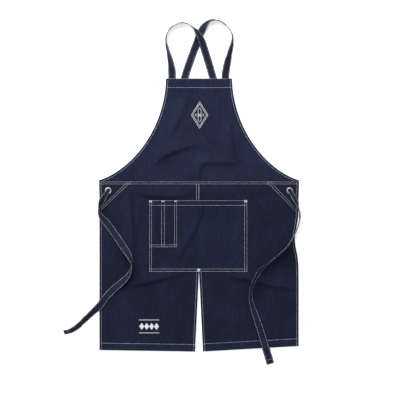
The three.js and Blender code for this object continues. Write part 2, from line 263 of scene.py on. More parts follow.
class ApronCloth(bpy.types.PropertyGroup):
    """The denim of the panels and pockets."""

    thickness: length("Cloth Thickness", "One layer of denim", 0.9 * MM, 0.3 * MM, 3 * MM)
    grid: length("Surface Step", "Spacing of the cloth's surface points", 3 * MM, MM, 20 * MM)
    folds: factor("Fold Height", "How strongly the soft folds stand up", 1.0, 0.0, 2.0)
    bib: colour("Bib Colour", "Dark indigo of the bib", (0.0087, 0.0119, 0.0306))
    skirt: colour("Skirt Colour", "Dark indigo of the skirt", (0.0061, 0.0088, 0.0222))
    pocket: colour("Pocket Colour", "Dark indigo of the pockets", (0.0063, 0.0098, 0.0244))
    reverse: colour("Reverse Colour", "The paler inside of the denim", (0.120, 0.145, 0.200))


class ApronStraps(bpy.types.PropertyGroup):
    """The two straps, which end as the ties."""

    width: length("Strap Width", "Width of the folded strap", 25 * MM, 5 * MM, 60 * MM)
    thickness: length("Strap Thickness", "Thickness of the folded strap", 2 * MM, MM, 6 * MM)
    margin: length("Stitch Margin", "From a strap's edge to its stitching", 2.6 * MM, MM, 9 * MM)
    rings: bpy.props.IntProperty(
        name="Rings", description="Sections along a strap", default=300, min=40, max=1000
    )
    tint: colour("Strap Colour", "Dark indigo of the straps", (0.0108, 0.0132, 0.0285))


class ApronThread(bpy.types.PropertyGroup):
    """The contrast sewing thread."""

    radius: length("Thread Radius", "Half the thread's thickness", 0.40 * MM, 0.1 * MM, 2 * MM)
    pitch: length("Stitch Pitch", "From one stitch to the next", 3.1 * MM, MM, 20 * MM)
    stitch: length("Stitch Length", "Of the thread that shows", 2.75 * MM, 0.5 * MM, 20 * MM)
    seed: bpy.props.IntProperty(
        name="Seed", description="Of the stitches' small differences", default=11, min=0
    )
    tint: colour("Thread Colour", "Off-white thread", (0.70, 0.74, 0.84))
    ink: colour("Print Colour", "Off-white ink of the printed marks", (0.80, 0.80, 0.82))


class ApronEyelets(bpy.types.PropertyGroup):
    """The two nickel eyelets."""

    segments: bpy.props.IntProperty(
        name="Segments", description="Sides of a ring", default=96, min=12, max=256
    )
    tint: colour("Metal Colour", "Nickel plate", (0.70, 0.655, 0.645))


class ApronStage(bpy.types.PropertyGroup):
    """The floor, the lights and the camera."""

    span: length("Picture Width", "What the camera takes in across the cloth", 1.3, 0.5, 5.0)
    lens: bpy.props.FloatProperty(
        name="Lens", description="Focal length", default=100.0, min=20.0, max=300.0,
        subtype="DISTANCE_CAMERA", unit="CAMERA",
    )
    floor: colour("Floor Colour", "The plain floor", (0.93, 0.93, 0.93))
    sky: factor("Sky Light", "Strength of the even light", 0.40, 0.0, 5.0)
    key: bpy.props.FloatProperty(
        name="Softbox Power", description="Power of the soft light", default=200.0, min=0.0,
        max=1000.0, unit="POWER",
    )


# ---- How the cloth lies ----
# Creases: the points of each ridge, from the middle of the waist seam, how high it stands, and how
# far it spreads to its steep side, on the right along the line, and to its gentle one. Millimetres.
CREASES = (
    (((-268, -338), (-190, -331), (-110, -312), (-45, -297)), 8.0, 7, 25),
    (((90, -306), (160, -318), (240, -338), (321, -352)), 8.5, 7, 25),
    (((-212, -250), (-216, -170), (-224, -90), (-222, -20)), 9.0, 6.5, 22),
    (((-72, -262), (-40, -200), (0, -120), (4, -60), (0, -8)), 5.6, 7, 24),
    (((0, 6), (2, 44), (16, 60), (70, 62), (140, 64)), 7.0, 7, 22),
    (((-150, 54), (-112, 84), (-60, 106), (4, 126)), 8.0, 8, 26),
    (((114, 76), (106, 120), (96, 190)), 7.0, 7, 20),
    (((-96, 146), (-58, 220), (-32, 288)), 4.6, 9, 24),
    (((196, -58), (222, -110), (252, -174), (321, -272)), 9.5, 6.5, 22),
    (((-206, -14), (-186, -38), (-120, -47), (-50, -45), (-20, -26)), 5.6, 7, 20),
    (((26, -296), (70, -346), (128, -402)), 3.4, 9, 22),
    (((-318, -110), (-290, -170), (-262, -224)), 3.6, 8, 20),
)
CREASE_POINTS = 40
CREASE_END = 12 * MM


def ripple(x, y, seed, longest, shortest, count=12):
    """Gentle waves of many lengths, mostly between -1 and 1."""
    rng = np.random.default_rng(seed)
    total = np.zeros(np.shape(x))
    reach = 0.0
    for i in range(count):
        wave = longest * (shortest / longest) ** (i / (count - 1))
        turn, phase = rng.uniform(0, 2 * math.pi, 2)
        size = (wave / longest) ** 0.8
        along = x * math.cos(turn) + y * math.sin(turn)
        total = total + size * np.sin(2 * math.pi * along / wave + phase)
        reach += size
    return 1.6 * total / reach


def crease_level(x, y, points, rise, steep, gentle):
    """How high one crease stands over a point. It falls to nothing at both its ends."""
    line = smooth_route(np.array(points) * MM, np.linspace(0, 1, CREASE_POINTS))
    along = np.gradient(line, axis=0)
    step = np.linalg.norm(along, axis=1)
    along /= step[:, None]
    dx, dy = x[..., None] - line[:, 0], y[..., None] - line[:, 1]
    near = np.argmin(dx**2 + dy**2, -1)
    dx, dy = (np.take_along_axis(d, near[..., None], -1)[..., 0] for d in (dx, dy))
    ahead = dx * along[near, 0] + dy * along[near, 1]
    right = dx * along[near, 1] - dy * along[near, 0]
    share = np.clip((near + ahead / step[near]) / (CREASE_POINTS - 1), 0, 1)
    spread = np.where(right > 0, steep, gentle) * MM
    beyond = np.clip(abs(ahead) - step[near], 0, None) / CREASE_END
    taper = np.sin(math.pi * share) ** 0.6 * np.exp(-(beyond**2))
    return rise * taper * np.exp(-((right / spread) ** 2))


def cloth_level(x, y):
    """The middle of the cloth's thickness over a point, from the middle of the waist seam.

    Creases and gentle waves lift the cloth. The seam and the eyelets hold it down.
    """
    x, y = np.asarray(x, float), np.asarray(y, float)
    level = np.full(np.broadcast(x, y).shape, CLOTH_MIDDLE)
    height = bpy.context.scene.apron_cloth.folds * MM
    for crease in CREASES:
        level += height * crease_level(x, y, *crease)
    level += height * (0.4 + 1.3 * ripple(x, y, 5, 0.26, 0.05))
    level += height * 0.22 * ripple(x, y, 9, 0.045, 0.018)
    seam = 0.6 * np.exp(-((y / (7 * MM)) ** 2))
    level = level * (1 - seam) + (CLOTH_MIDDLE + 0.3 * MM) * seam
    for centre in EYELET.values():
        pin = np.exp(-((np.hypot(x - centre[0], y + WAIST - centre[1]) / (24 * MM)) ** 4))
        level = level * (1 - pin) + CLOTH_MIDDLE * pin
    return level


def smooth_step(value, low, high):
    """0 up to low, 1 from high on, and a smooth turn between."""
    t = np.clip((value - low) / (high - low), 0, 1)
    return t * t * (3 - 2 * t)


# ---- Outlines, from the middle of the waist seam ----
def armhole(t):
    """A point of the right armhole's edge, from the waist corner at 0 to the top at 1."""
    ends = np.array(
        [
            [HALF, 4 * MM],
            [HALF * 0.68, BIB_HEIGHT * 0.11],
            [TOP_HALF * 1.03, BIB_HEIGHT * 0.5],
            [TOP_HALF, BIB_HEIGHT],
        ]
    )
    t = np.asarray(t, float)[..., None]
    return (
        (1 - t) ** 3 * ends[0] + 3 * (1 - t) ** 2 * t * ends[1]
        + 3 * (1 - t) * t**2 * ends[2] + t**3 * ends[3]
    )


def slit_edge(drop):
    """Half the slit's width at a distance below the waist."""
    top = SKIRT_DROP - SLIT_LENGTH
    return SLIT_MOUTH / 2 * np.clip((drop - top) / SLIT_LENGTH, 0, None) + FOLD_GAP


def side_edge(sign, drop):
    """The skirt's side: on the right a fold pulls the cloth in."""
    pull = 12 * MM * np.exp(-(((drop - 188 * MM) / (52 * MM)) ** 2)) if sign > 0 else 0 * drop
    return HALF - pull - 1.2 * MM * smooth_step(drop, 0, 60 * MM)


def hem_drop(sign, share):
    """How far the hem is below the waist, from the slit at 0 to the side at 1."""
    return SKIRT_DROP + (SIDE_DROP[sign] - SKIRT_DROP) * share


def over_cloth(x, y):
    """Whether a point, from the middle of the waist seam, lies over the cloth."""
    sign = np.where(x < 0, -1, 1)
    share = np.clip(np.abs(x) / HALF, 0, 1)
    side = np.where(sign < 0, side_edge(-1, -y), side_edge(1, -y))
    hem = np.where(sign < 0, hem_drop(-1, share), hem_drop(1, share))
    skirt = (y <= 0) & (np.abs(x) < side) & (-y < hem) & (np.abs(x) > slit_edge(-y) - FOLD_GAP)
    edge = armhole(np.linspace(0, 1, 200))
    bib = (y > 0) & (np.abs(x) < np.interp(y, edge[:, 1], edge[:, 0])) & (y < BIB_HEIGHT)
    return skirt | bib


def front_level(x, y):
    """What something laid over a point rests on: the cloth's front, or the floor."""
    half = bpy.context.scene.apron_cloth.thickness / 2
    return np.where(over_cloth(x, y), cloth_level(x, y) + half, 0.0)


# ---- Mesh building ----
def edge_steps(size, step):
    """Steps from 0 to 1 across a cloth, closer together at its two edges."""
    inner = np.linspace(EDGE_REACH / size, 1 - EDGE_REACH / size, max(2, round(size / step)))
    near = np.array([0.0, 0.18, 0.5]) * EDGE_REACH / size
    return np.concatenate([near, inner, 1 - near[::-1]])


def new_piece(name, points, faces, materials, face_materials=None, uv=None):
    """A smooth mesh object with its place in its mesh."""
    mesh = bpy.data.meshes.new(name)
    mesh.from_pydata([tuple(p) for p in points], [], [tuple(f) for f in faces])
    for material in materials:
        mesh.materials.append(material)
    if face_materials is not None:
        mesh.polygons.foreach_set("material_index", np.asarray(face_materials, np.int32))
    if uv is not None:
        layer = mesh.uv_layers.new(name="weave")
        corners = np.zeros(len(mesh.loops), np.int32)
        mesh.loops.foreach_get("vertex_index", corners)
        layer.data.foreach_set("uv", np.asarray(uv, np.float32)[corners].ravel())
    mesh.polygons.foreach_set("use_smooth", np.ones(len(mesh.polygons), bool))
    mesh.update()
    piece = bpy.data.objects.new(name, mesh)
    bpy.context.scene.collection.objects.link(piece)
    return piece


def cloth_slab(name, x, y, middle, thickness, materials, keep=None, tone=None):
    """A closed sheet over a grid of points, with rounded edges.

    keep says which cells it has, and tone how pale its denim is worn at each point.
    """
    rows, columns = x.shape
    step_c = np.hypot(np.diff(x, axis=1), np.diff(y, axis=1))
    step_r = np.hypot(np.diff(x, axis=0), np.diff(y, axis=0))
    zero_c, zero_r = np.zeros((rows, 1)), np.zeros((1, columns))
    from_left = np.concatenate([zero_c, np.cumsum(step_c, 1)], 1)
    from_low = np.concatenate([zero_r, np.cumsum(step_r, 0)], 0)
    edge = np.minimum(from_left, from_left[:, -1:] - from_left)
    edge = np.minimum(edge, np.minimum(from_low, from_low[-1:] - from_low))
    round_off = 0.3 + 0.7 * np.sqrt(1 - (1 - np.clip(edge / EDGE_ROUND, 0, 1)) ** 2)
    half = thickness / 2 * round_off
    world_y = y + WAIST
    top = np.stack([x, world_y, middle + half], -1).reshape(-1, 3)
    low = np.stack([x, world_y, middle - half], -1).reshape(-1, 3)
    index = np.arange(rows * columns).reshape(rows, columns)
    quads = np.stack([index[:-1, :-1], index[:-1, 1:], index[1:, 1:], index[1:, :-1]], -1)
    quads = quads.reshape(-1, 4) if keep is None else quads.reshape(-1, 4)[keep]
    a, b = top[quads[0, 1]] - top[quads[0, 0]], top[quads[0, 3]] - top[quads[0, 0]]
    if a[0] * b[1] - a[1] * b[0] < 0:
        quads = quads[:, ::-1]
    count = rows * columns
    ends = np.concatenate([quads[:, [k, (k + 1) % 4]] for k in range(4)])
    seen = {(int(p), int(q)) for p, q in ends}
    walls = [(q, p, p + count, q + count) for p, q in seen if (q, p) not in seen]
    walls.sort()
    faces = np.concatenate([quads, quads[:, ::-1] + count, np.array(walls)])
    kinds = np.zeros(len(faces), int)
    kinds[len(quads):2 * len(quads)] = len(materials) - 1
    used, faces = np.unique(faces, return_inverse=True)
    piece = new_piece(
        name, np.concatenate([top, low])[used], faces.reshape(-1, 4), materials, kinds
    )
    if tone is not None:
        shade = np.broadcast_to(tone, (rows, columns)).ravel()
        layer = piece.data.attributes.new("tone", "FLOAT", "POINT")
        layer.data.foreach_set("value", np.concatenate([shade, shade])[used].astype(np.float32))
    return piece


def sweep(name, points, across, through, section, materials):
    """A closed strip: section gives each ring's points as distances across and through."""
    rings, sides = section.shape[:2]
    place = (
        points[:, None] + across[:, None] * section[..., :1] + through[:, None] * section[..., 1:]
    )
    along = np.concatenate([[0], np.cumsum(np.linalg.norm(np.diff(points, axis=0), axis=1))])
    uv = np.stack([section[..., 0], np.broadcast_to(along[:, None], (rings, sides))], -1)
    index = np.arange(rings * sides).reshape(rings, sides)
    after = np.roll(index, -1, axis=1)
    faces = np.stack([index[:-1], after[:-1], after[1:], index[1:]], -1).reshape(-1, 4).tolist()
    faces += [index[0][::-1].tolist(), index[-1].tolist()]
    piece = new_piece(name, place.reshape(-1, 3), faces, materials, uv=uv.reshape(-1, 2))
    face_outwards(piece)
    return piece


def face_outwards(piece):
    """Turns a closed mesh's faces out if its volume reads negative."""
    mesh = piece.data
    mesh.calc_loop_triangles()
    corners = np.zeros(len(mesh.loop_triangles) * 3, np.int32)
    mesh.loop_triangles.foreach_get("vertices", corners)
    points = np.zeros(len(mesh.vertices) * 3)
    mesh.vertices.foreach_get("co", points)
    a, b, c = points.reshape(-1, 3)[corners.reshape(-1, 3)].transpose(1, 0, 2)
    if np.einsum("ij,ij->", a, np.cross(b, c)) < 0:
        mesh.flip_normals()


# ---- Materials ----
class Shader:
    """A material under construction: adds nodes and joins them."""

    def __init__(self, name):
        self.material = bpy.data.materials.new(name)
        self.material.use_nodes = True
        self.tree = self.material.node_tree
        self.tree.nodes.clear()
        self.surface = self.tree.nodes.new("ShaderNodeBsdfPrincipled")
        output = self.tree.nodes.new("ShaderNodeOutputMaterial")
        self.tree.links.new(self.surface.outputs[0], output.inputs["Surface"])

    def add(self, kind, inputs=None, **settings):
        """Adds a node. Its inputs are values, or other nodes' outputs."""
        node = self.tree.nodes.new(kind)
        for key, value in settings.items():
            setattr(node, key, value)
        for key, value in (inputs or {}).items():
            self.put(node.inputs[key], value)
        return node

    def put(self, socket, value):
        """Sets a socket, or joins an output to it."""
        if isinstance(value, bpy.types.NodeSocket):
            self.tree.links.new(value, socket)
        else:
            socket.default_value = value

    def scaled(self, source, scale):
        """The pattern's coordinates, stretched."""
        return self.add("ShaderNodeMapping", {"Vector": source, "Scale": scale}).outputs[0]

    def noise(self, source, scale, detail=2.0, rough=0.5):
        """Noise over coordinates stretched by scale."""
        inputs = {"Vector": self.scaled(source, scale), "Scale": 1.0, "Detail": detail,
                  "Roughness": rough}
        return self.add("ShaderNodeTexNoise", inputs).outputs[0]

    def math(self, operation, a, b=0.0):
        """A sum, product and so on of two values."""
        return self.add("ShaderNodeMath", {0: a, 1: b}, operation=operation).outputs[0]

    def between(self, value, low, high, new_low=0.0, new_high=1.0):
        """A value's range, moved to another."""
        inputs = {"Value": value, "From Min": low, "From Max": high, "To Min": new_low,
                  "To Max": new_high}
        return self.add("ShaderNodeMapRange", inputs).outputs[0]

    def blend(self, share, a, b, kind="MIX"):
        """One colour laid over another."""
        node = self.add("ShaderNodeMix", data_type="RGBA", blend_type=kind)
        self.put(node.inputs[0], share)
        self.put(node.inputs[6], a)
        self.put(node.inputs[7], b)
        return node.outputs[2]


def rgba(tint, gain=1.0):
    """A colour for a socket."""
    return (*[min(1.0, c * gain) for c in tint], 1.0)


def denim(name, tint, woven_along=False, weft=2.3, streaks=1.0):
    """Right-hand twill: dark warp with slubs over a paler weft that shows along the diagonals."""
    made = bpy.data.materials.get(name)
    if made:
        return made
    s = Shader(name)
    coordinates = s.add("ShaderNodeTexCoord")
    place = coordinates.outputs["Object"]
    if woven_along:
        place = s.add("ShaderNodeUVMap", uv_map="weave").outputs[0]
    warp = s.noise(place, (950, 26, 60), 2.0, 0.6)
    slub = s.noise(place, (260, 13, 18), 3.0, 0.62)
    yarn = s.noise(place, (1500, 1500, 1500), 1.0)
    patch = s.noise(place, (11, 8, 9), 5.0, 0.6)
    mottle = s.noise(place, (230, 200, 230), 3.0, 0.75)
    axes = s.add("ShaderNodeSeparateXYZ", {0: place})
    diagonal = s.math("MULTIPLY_ADD", axes.outputs[1], 0.62)
    diagonal.node.inputs[2].default_value = 0.0
    slant = s.math("SUBTRACT", s.math("MULTIPLY", axes.outputs[0], 1.0), diagonal)
    wobble = s.math("MULTIPLY", slub, 0.0012)
    phase = s.math("MULTIPLY", s.math("ADD", slant, wobble), 2 * math.pi / (1.0 * MM))
    twill = s.between(s.math("SINE", phase), -1.0, 1.0)
    show = s.math("MULTIPLY", s.between(twill, 0.35, 1.0), s.between(yarn, 0.3, 0.75))
    dark = s.blend(s.between(warp, 0.3, 0.72), rgba(tint, 0.5), rgba(tint, 1.35))
    dark = s.blend(s.between(slub, 0.42, 0.7, 0.0, 0.42 * streaks), dark, rgba(tint, 2.3))
    dark = s.blend(s.between(mottle, 0.4, 0.66, 0.0, 0.55 * streaks), dark, rgba(tint, 2.6))
    cloth = s.blend(s.math("MULTIPLY", show, 0.6), dark, rgba(tint, weft))
    shade = s.between(patch, 0.32, 0.68, 1 - 0.25 * streaks, 1 + 0.20 * streaks)
    tone = s.add("ShaderNodeAttribute", attribute_name="tone").outputs["Fac"]
    worn = s.math("MULTIPLY", tone, s.between(s.noise(place, (90, 140, 90), 3.0), 0.3, 0.7))
    cloth = s.blend(s.math("MULTIPLY", worn, 1.2), cloth, rgba(tint, 2.8))
    cloth = s.blend(1.0, cloth, s.add("ShaderNodeCombineColor", {0: shade, 1: shade, 2: shade})
                    .outputs[0], "MULTIPLY")
    s.put(s.surface.inputs["Base Color"], cloth)
    s.put(s.surface.inputs["Roughness"], s.between(twill, 0, 1, 0.96, 0.84))
    s.surface.inputs["Specular IOR Level"].default_value = 0.16
    s.surface.inputs["Sheen Weight"].default_value = 0.03
    s.surface.inputs["Sheen Roughness"].default_value = 0.5
    height = s.math("ADD", s.math("MULTIPLY", twill, 0.6), s.math("MULTIPLY", yarn, 0.35))
    height = s.math("ADD", height, s.math("MULTIPLY", warp, 0.35))
    bump = s.add("ShaderNodeBump", {"Height": height, "Strength": 0.35, "Distance": 0.25 * MM})
    s.put(s.surface.inputs["Normal"], bump.outputs[0])
    return s.material


def thread_finish(name, tint):
    """Matte twisted thread."""
    made = bpy.data.materials.get(name)
    if made:
        return made
    s = Shader(name)
    place = s.add("ShaderNodeTexCoord").outputs["Object"]
    dirt = s.noise(place, (60, 60, 60), 3.0)
    twist = s.noise(place, (2600, 2600, 2600), 1.0)
    shade = s.blend(s.between(dirt, 0.3, 0.7), rgba(tint, 0.86), rgba(tint, 1.06))
    s.put(s.surface.inputs["Base Color"], s.blend(s.between(twist, 0.3, 0.7), shade,
                                                  rgba(tint, 1.15)))
    s.put(s.surface.inputs["Roughness"], s.between(twist, 0.2, 0.8, 0.6, 0.85))
    bump = s.add("ShaderNodeBump", {"Height": twist, "Strength": 0.3, "Distance": 0.1 * MM})
    s.put(s.surface.inputs["Normal"], bump.outputs[0])
    return s.material


def nickel(name, tint):
    """Nickel plate with fine rolling marks and dulled patches."""
    s = Shader(name)
    place = s.add("ShaderNodeTexCoord").outputs["Object"]
    dull = s.noise(place, (420, 420, 420), 4.0, 0.6)
    marks = s.noise(place, (2400, 2400, 300), 2.0)
    s.put(s.surface.inputs["Base Color"], s.blend(s.between(dull, 0.35, 0.7), rgba(tint),
                                                  rgba(tint, 0.78)))
    s.put(s.surface.inputs["Roughness"], s.between(dull, 0.3, 0.75, 0.22, 0.42))
    s.surface.inputs["Metallic"].default_value = 1.0
    bump = s.add("ShaderNodeBump", {"Height": marks, "Strength": 0.12, "Distance": 0.05 * MM})
    s.put(s.surface.inputs["Normal"], bump.outputs[0])
    return s.material


def printed_ink(name, tint):
    """Flat white ink that lets the twill through a little."""
    s = Shader(name)
    place = s.add("ShaderNodeTexCoord").outputs["Object"]
    wear = s.noise(place, (700, 700, 700), 3.0, 0.65)
    base = s.blend(s.between(wear, 0.62, 0.78), rgba(tint), rgba(tint, 0.45))
    s.put(s.surface.inputs["Base Color"], base)
    s.put(s.surface.inputs["Roughness"], s.between(wear, 0.2, 0.8, 0.6, 0.8))
    bump = s.add("ShaderNodeBump", {"Height": wear, "Strength": 0.2, "Distance": 0.05 * MM})
    s.put(s.surface.inputs["Normal"], bump.outputs[0])
    return s.material


def plain_floor(name, tint):
    """A pale floor that is clear from below, so the back of the cloth can be seen."""
    s = Shader(name)
    place = s.add("ShaderNodeTexCoord").outputs["Object"]
    faint = s.noise(place, (3, 3, 3), 2.0)
    s.put(s.surface.inputs["Base Color"], s.blend(faint, rgba(tint, 0.995), rgba(tint)))
    s.surface.inputs["Roughness"].default_value = 0.9
    s.surface.inputs["Specular IOR Level"].default_value = 0.1
    s.surface.inputs["Emission Color"].default_value = rgba(tint)
    s.surface.inputs["Emission Strength"].default_value = 0.6
    output = s.tree.nodes["Material Output"]
    clear = s.add("ShaderNodeBsdfTransparent")
    side = s.add("ShaderNodeNewGeometry").outputs["Backfacing"]
    mix = s.add("ShaderNodeMixShader", {0: side, 1: s.surface.outputs[0], 2: clear.outputs[0]})
    s.tree.links.new(mix.outputs[0], output.inputs["Surface"])
    return s.material


def bib_denim():
    return denim("Bib Denim", bpy.context.scene.apron_cloth.bib)


def skirt_denim():
    return denim("Skirt Denim", bpy.context.scene.apron_cloth.skirt)


def pocket_denim():
    return denim("Pocket Denim", bpy.context.scene.apron_cloth.pocket)


def reverse_denim():
    return denim("Denim Reverse", bpy.context.scene.apron_cloth.reverse, weft=1.6, streaks=0.5)


def strap_denim():
    return denim("Strap Denim", bpy.context.scene.apron_straps.tint, woven_along=True)


def thread():
    return thread_finish("Topstitch Thread", bpy.context.scene.apron_thread.tint)


# ---- Stitching, with Geometry Nodes ----
def stitch_nodes():
    """Lays one rounded stitch after another along seam lines."""
    made = bpy.data.node_groups.get("Apron Stitching")
    if made:
        return made
    tree = bpy.data.node_groups.new("Apron Stitching", "GeometryNodeTree")
    tree.is_modifier = True
    face = tree.interface
    face.new_socket("Seam Lines", in_out="INPUT", socket_type="NodeSocketGeometry")
    for name in ("Stitch Pitch", "Stitch Length", "Thread Radius"):
        face.new_socket(name, in_out="INPUT", socket_type="NodeSocketFloat")
    face.new_socket("Seed", in_out="INPUT", socket_type="NodeSocketInt")
    face.new_socket("Thread", in_out="INPUT", socket_type="NodeSocketMaterial")
    face.new_socket("Stitches", in_out="OUTPUT", socket_type="NodeSocketGeometry")
    add, join = tree.nodes.new, tree.links.new
    given, result = add("NodeGroupInput"), add("NodeGroupOutput")
    lines = add("GeometryNodeMeshToCurve")
    join(given.outputs["Seam Lines"], lines.inputs["Mesh"])
    points = add("GeometryNodeCurveToPoints")
    points.mode = "LENGTH"
    join(lines.outputs[0], points.inputs["Curve"])
    join(given.outputs["Stitch Pitch"], points.inputs["Length"])
    bead = add("GeometryNodeMeshUVSphere")
    bead.inputs["Segments"].default_value = 6
    bead.inputs["Rings"].default_value = 4
    bead.inputs["Radius"].default_value = 1.0
    half = add("ShaderNodeMath")
    half.operation = "MULTIPLY"
    join(given.outputs["Stitch Length"], half.inputs[0])
    half.inputs[1].default_value = 0.5
    size = add("ShaderNodeCombineXYZ")
    join(given.outputs["Thread Radius"], size.inputs[0])
    join(given.outputs["Thread Radius"], size.inputs[1])
    join(half.outputs[0], size.inputs[2])
    vary = add("FunctionNodeRandomValue")
    vary.data_type = "FLOAT_VECTOR"
    vary.inputs[0].default_value = (0.88, 0.88, 0.9)
    vary.inputs[1].default_value = (1.08, 1.08, 1.06)
    join(given.outputs["Seed"], vary.inputs["Seed"])
    scale = add("ShaderNodeVectorMath")
    scale.operation = "MULTIPLY"
    join(size.outputs[0], scale.inputs[0])
    join(vary.outputs[0], scale.inputs[1])
    sewn = add("GeometryNodeInstanceOnPoints")
    join(points.outputs["Points"], sewn.inputs["Points"])
    join(bead.outputs["Mesh"], sewn.inputs["Instance"])
    join(points.outputs["Rotation"], sewn.inputs["Rotation"])
    join(scale.outputs[0], sewn.inputs["Scale"])
    real = add("GeometryNodeRealizeInstances")
    join(sewn.outputs[0], real.inputs[0])
    finish = add("GeometryNodeSetMaterial")
    join(real.outputs[0], finish.inputs["Geometry"])
    join(given.outputs["Thread"], finish.inputs["Material"])
    join(finish.outputs[0], result.inputs[0])
    return tree


def sew(name, lines, pitch=None, stitch=None, radius=None, lift=0.1 * MM):
    """Stitches along lines of points. The lines lie on the cloth, and the thread a little above."""
    settings = bpy.context.scene.apron_thread
    points, edges = [], []
    for line in lines:
        edges += [(len(points) + i, len(points) + i + 1) for i in range(len(line) - 1)]
        points += [(p[0], p[1], p[2] + lift) for p in line]
    mesh = bpy.data.meshes.new(name + "_lines")
    mesh.from_pydata(points, edges, [])
    seam = bpy.data.objects.new(name + "_lines", mesh)
    bpy.context.scene.collection.objects.link(seam)
    modifier = seam.modifiers.new("Stitches", "NODES")
    modifier.node_group = stitch_nodes()
    values = {
        "Stitch Pitch": pitch or settings.pitch,
        "Stitch Length": stitch or settings.stitch,
        "Thread Radius": radius or settings.radius,
        "Seed": settings.seed,
        "Thread": thread(),
    }
    for item in modifier.node_group.interface.items_tree:
        if item.name in values:
            modifier[item.identifier] = values[item.name]
    seen = bpy.context.evaluated_depsgraph_get()
    sewn = bpy.data.meshes.new_from_object(seam.evaluated_get(seen))
    sewn.name = name
    if not len(sewn.polygons):
        raise RuntimeError(f"{name} has no stitches")
    sewn.polygons.foreach_set("use_smooth", np.ones(len(sewn.polygons), bool))
    bpy.data.objects.remove(seam)
    piece = bpy.data.objects.new(name, sewn)
    bpy.context.scene.collection.objects.link(piece)
    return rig.slot(piece, "thread")


def on_cloth(x, y, rise=0.0, step=3 * MM):
    """A line over corners [x], [y] from the middle of the waist seam, laid on the cloth's front."""
    run = np.concatenate([[0], np.cumsum(np.hypot(np.diff(x), np.diff(y)))])
    at = np.linspace(0, run[-1], max(2, int(run[-1] / step) + 1))
    x, y = (np.interp(at, run, v) for v in (x, y))
    half = bpy.context.scene.apron_cloth.thickness / 2
    return np.stack([x, y + WAIST, cloth_level(x, y) + half + rise], -1)


# ---- Operators ----
class Builder(bpy.types.Operator):
    """Shared by the operators that build the apron."""

    bl_options = {"REGISTER", "UNDO"}

    def execute(self, context):
        self.build(context.scene)
        return {"FINISHED"}


def bend_at_waist(piece):
    """The bib's cloth, and the straps behind it, bend up out of the waist seam."""
    start, end = (0, WAIST, CAD_FRONT), (0, WAIST + 22 * MM, CAD_FRONT)
    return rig.blend(piece, "skirt", "bib", start=start, end=end)


def bend_at_bib_top(piece):
    """The shoulder loops bend where they come out of the bib's top edge."""
    top = WAIST + BIB_HEIGHT
    start, end = (0, top - 1 * MM, CAD_FRONT), (0, top + 18 * MM, CAD_FRONT)
    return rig.blend(piece, "bib", "strap_loops", start=start, end=end)


class APRON_OT_bib(Builder):
    """The bib, its hem at the top and the bindings of its armholes."""

    bl_idname = "apron.bib"
    bl_label = "Bib"

    def build(self, scene):
        cloth = scene.apron_cloth
        t = edge_steps(0.36, cloth.grid)
        edge = armhole(t)
        edge = np.concatenate([[[HALF, FOLD_GAP], [HALF, 1.5 * MM]], edge])
        across = 2 * edge_steps(2 * HALF, cloth.grid) - 1
        x = edge[:, :1] * across[None]
        y = np.broadcast_to(edge[:, 1:], x.shape)
        inside = np.abs(x) / edge[:, :1]
        from_side = (1 - inside) * edge[:, :1]
        tone = 0.18 * smooth_step(y, BIB_HEIGHT - 30 * MM, BIB_HEIGHT - 28 * MM)
        tone = np.maximum(tone, 0.12 * (1 - smooth_step(from_side, 5 * MM, 8 * MM)))
        materials = [bib_denim(), reverse_denim()]
        bib = cloth_slab("bib_cloth", x, y, cloth_level(x, y), cloth.thickness, materials,
                         tone=tone)
        area = 2 * float(np.trapz(edge[:, 0], edge[:, 1]))
        bend_at_waist(bib)
        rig.replaces(bib, "bib_panel")
        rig.slot(bib, "denim")
        extras = []
        reach = TOP_HALF - 1 * MM
        under = cloth.thickness / 2 + LAYER_GAP
        grid_x, grid_y = np.meshgrid(
            edge_steps(2 * reach, cloth.grid) * 2 * reach - reach,
            BIB_HEIGHT - 28 * MM + 27.2 * MM * edge_steps(27 * MM, cloth.grid),
        )
        hem = cloth_slab("bib_hem", grid_x, grid_y, cloth_level(grid_x, grid_y) - under - 0.6 * MM,
                         1.1 * MM, [bib_denim()])
        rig.replaces(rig.ride(hem, "bib"), "bib_top_hem")
        extras.append(hem)
        for sign, side in SIDES:
            t = np.linspace(0.04, 0.93, 130)
            line = armhole(t)
            along = np.gradient(line, axis=0)
            along /= np.linalg.norm(along, axis=1)[:, None]
            inward = np.stack([-along[:, 1], along[:, 0]], -1)
            width = np.array([0.8, 1.2, 3, 5.5, 8, 9.6, 10]) * MM
            points = line[:, None] + inward[:, None] * width[None, :, None]
            band_x, band_y = sign * points[..., 0], points[..., 1]
            level = cloth_level(band_x, band_y) - under - 0.5 * MM
            band = cloth_slab(f"armhole_band_{side}", band_x, band_y, level, 0.9 * MM,
                              [bib_denim()])
            bend_at_waist(band)
            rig.replaces(band, f"armhole_binding_{side}")
            extras.append(band)
        for piece in extras:
            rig.slot(piece, "denim")
        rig.sheet(bib, flat=(2 * HALF, BIB_HEIGHT), held="laid", area=area, with_pieces=extras)


def cut_eyelet_hole(x, y, sign, hole=7.2 * MM, reach=17 * MM):
    """Pushes a grid's points out of the eyelet's hole, and says which cells aren't in it."""
    centre = EYELET[sign] - (0, WAIST)
    dx, dy = x - centre[0], y - centre[1]
    away = np.hypot(dx, dy)
    mid = (away[:-1, :-1] + away[1:, :-1] + away[:-1, 1:] + away[1:, 1:]) / 4
    keep = (mid > 4.2 * MM).reshape(-1)
    away = np.maximum(away, 1e-9)
    push = np.where(away < reach, (hole + away * (reach - hole) / reach) / away, 1.0)
    return centre[0] + dx * push, centre[1] + dy * push, keep


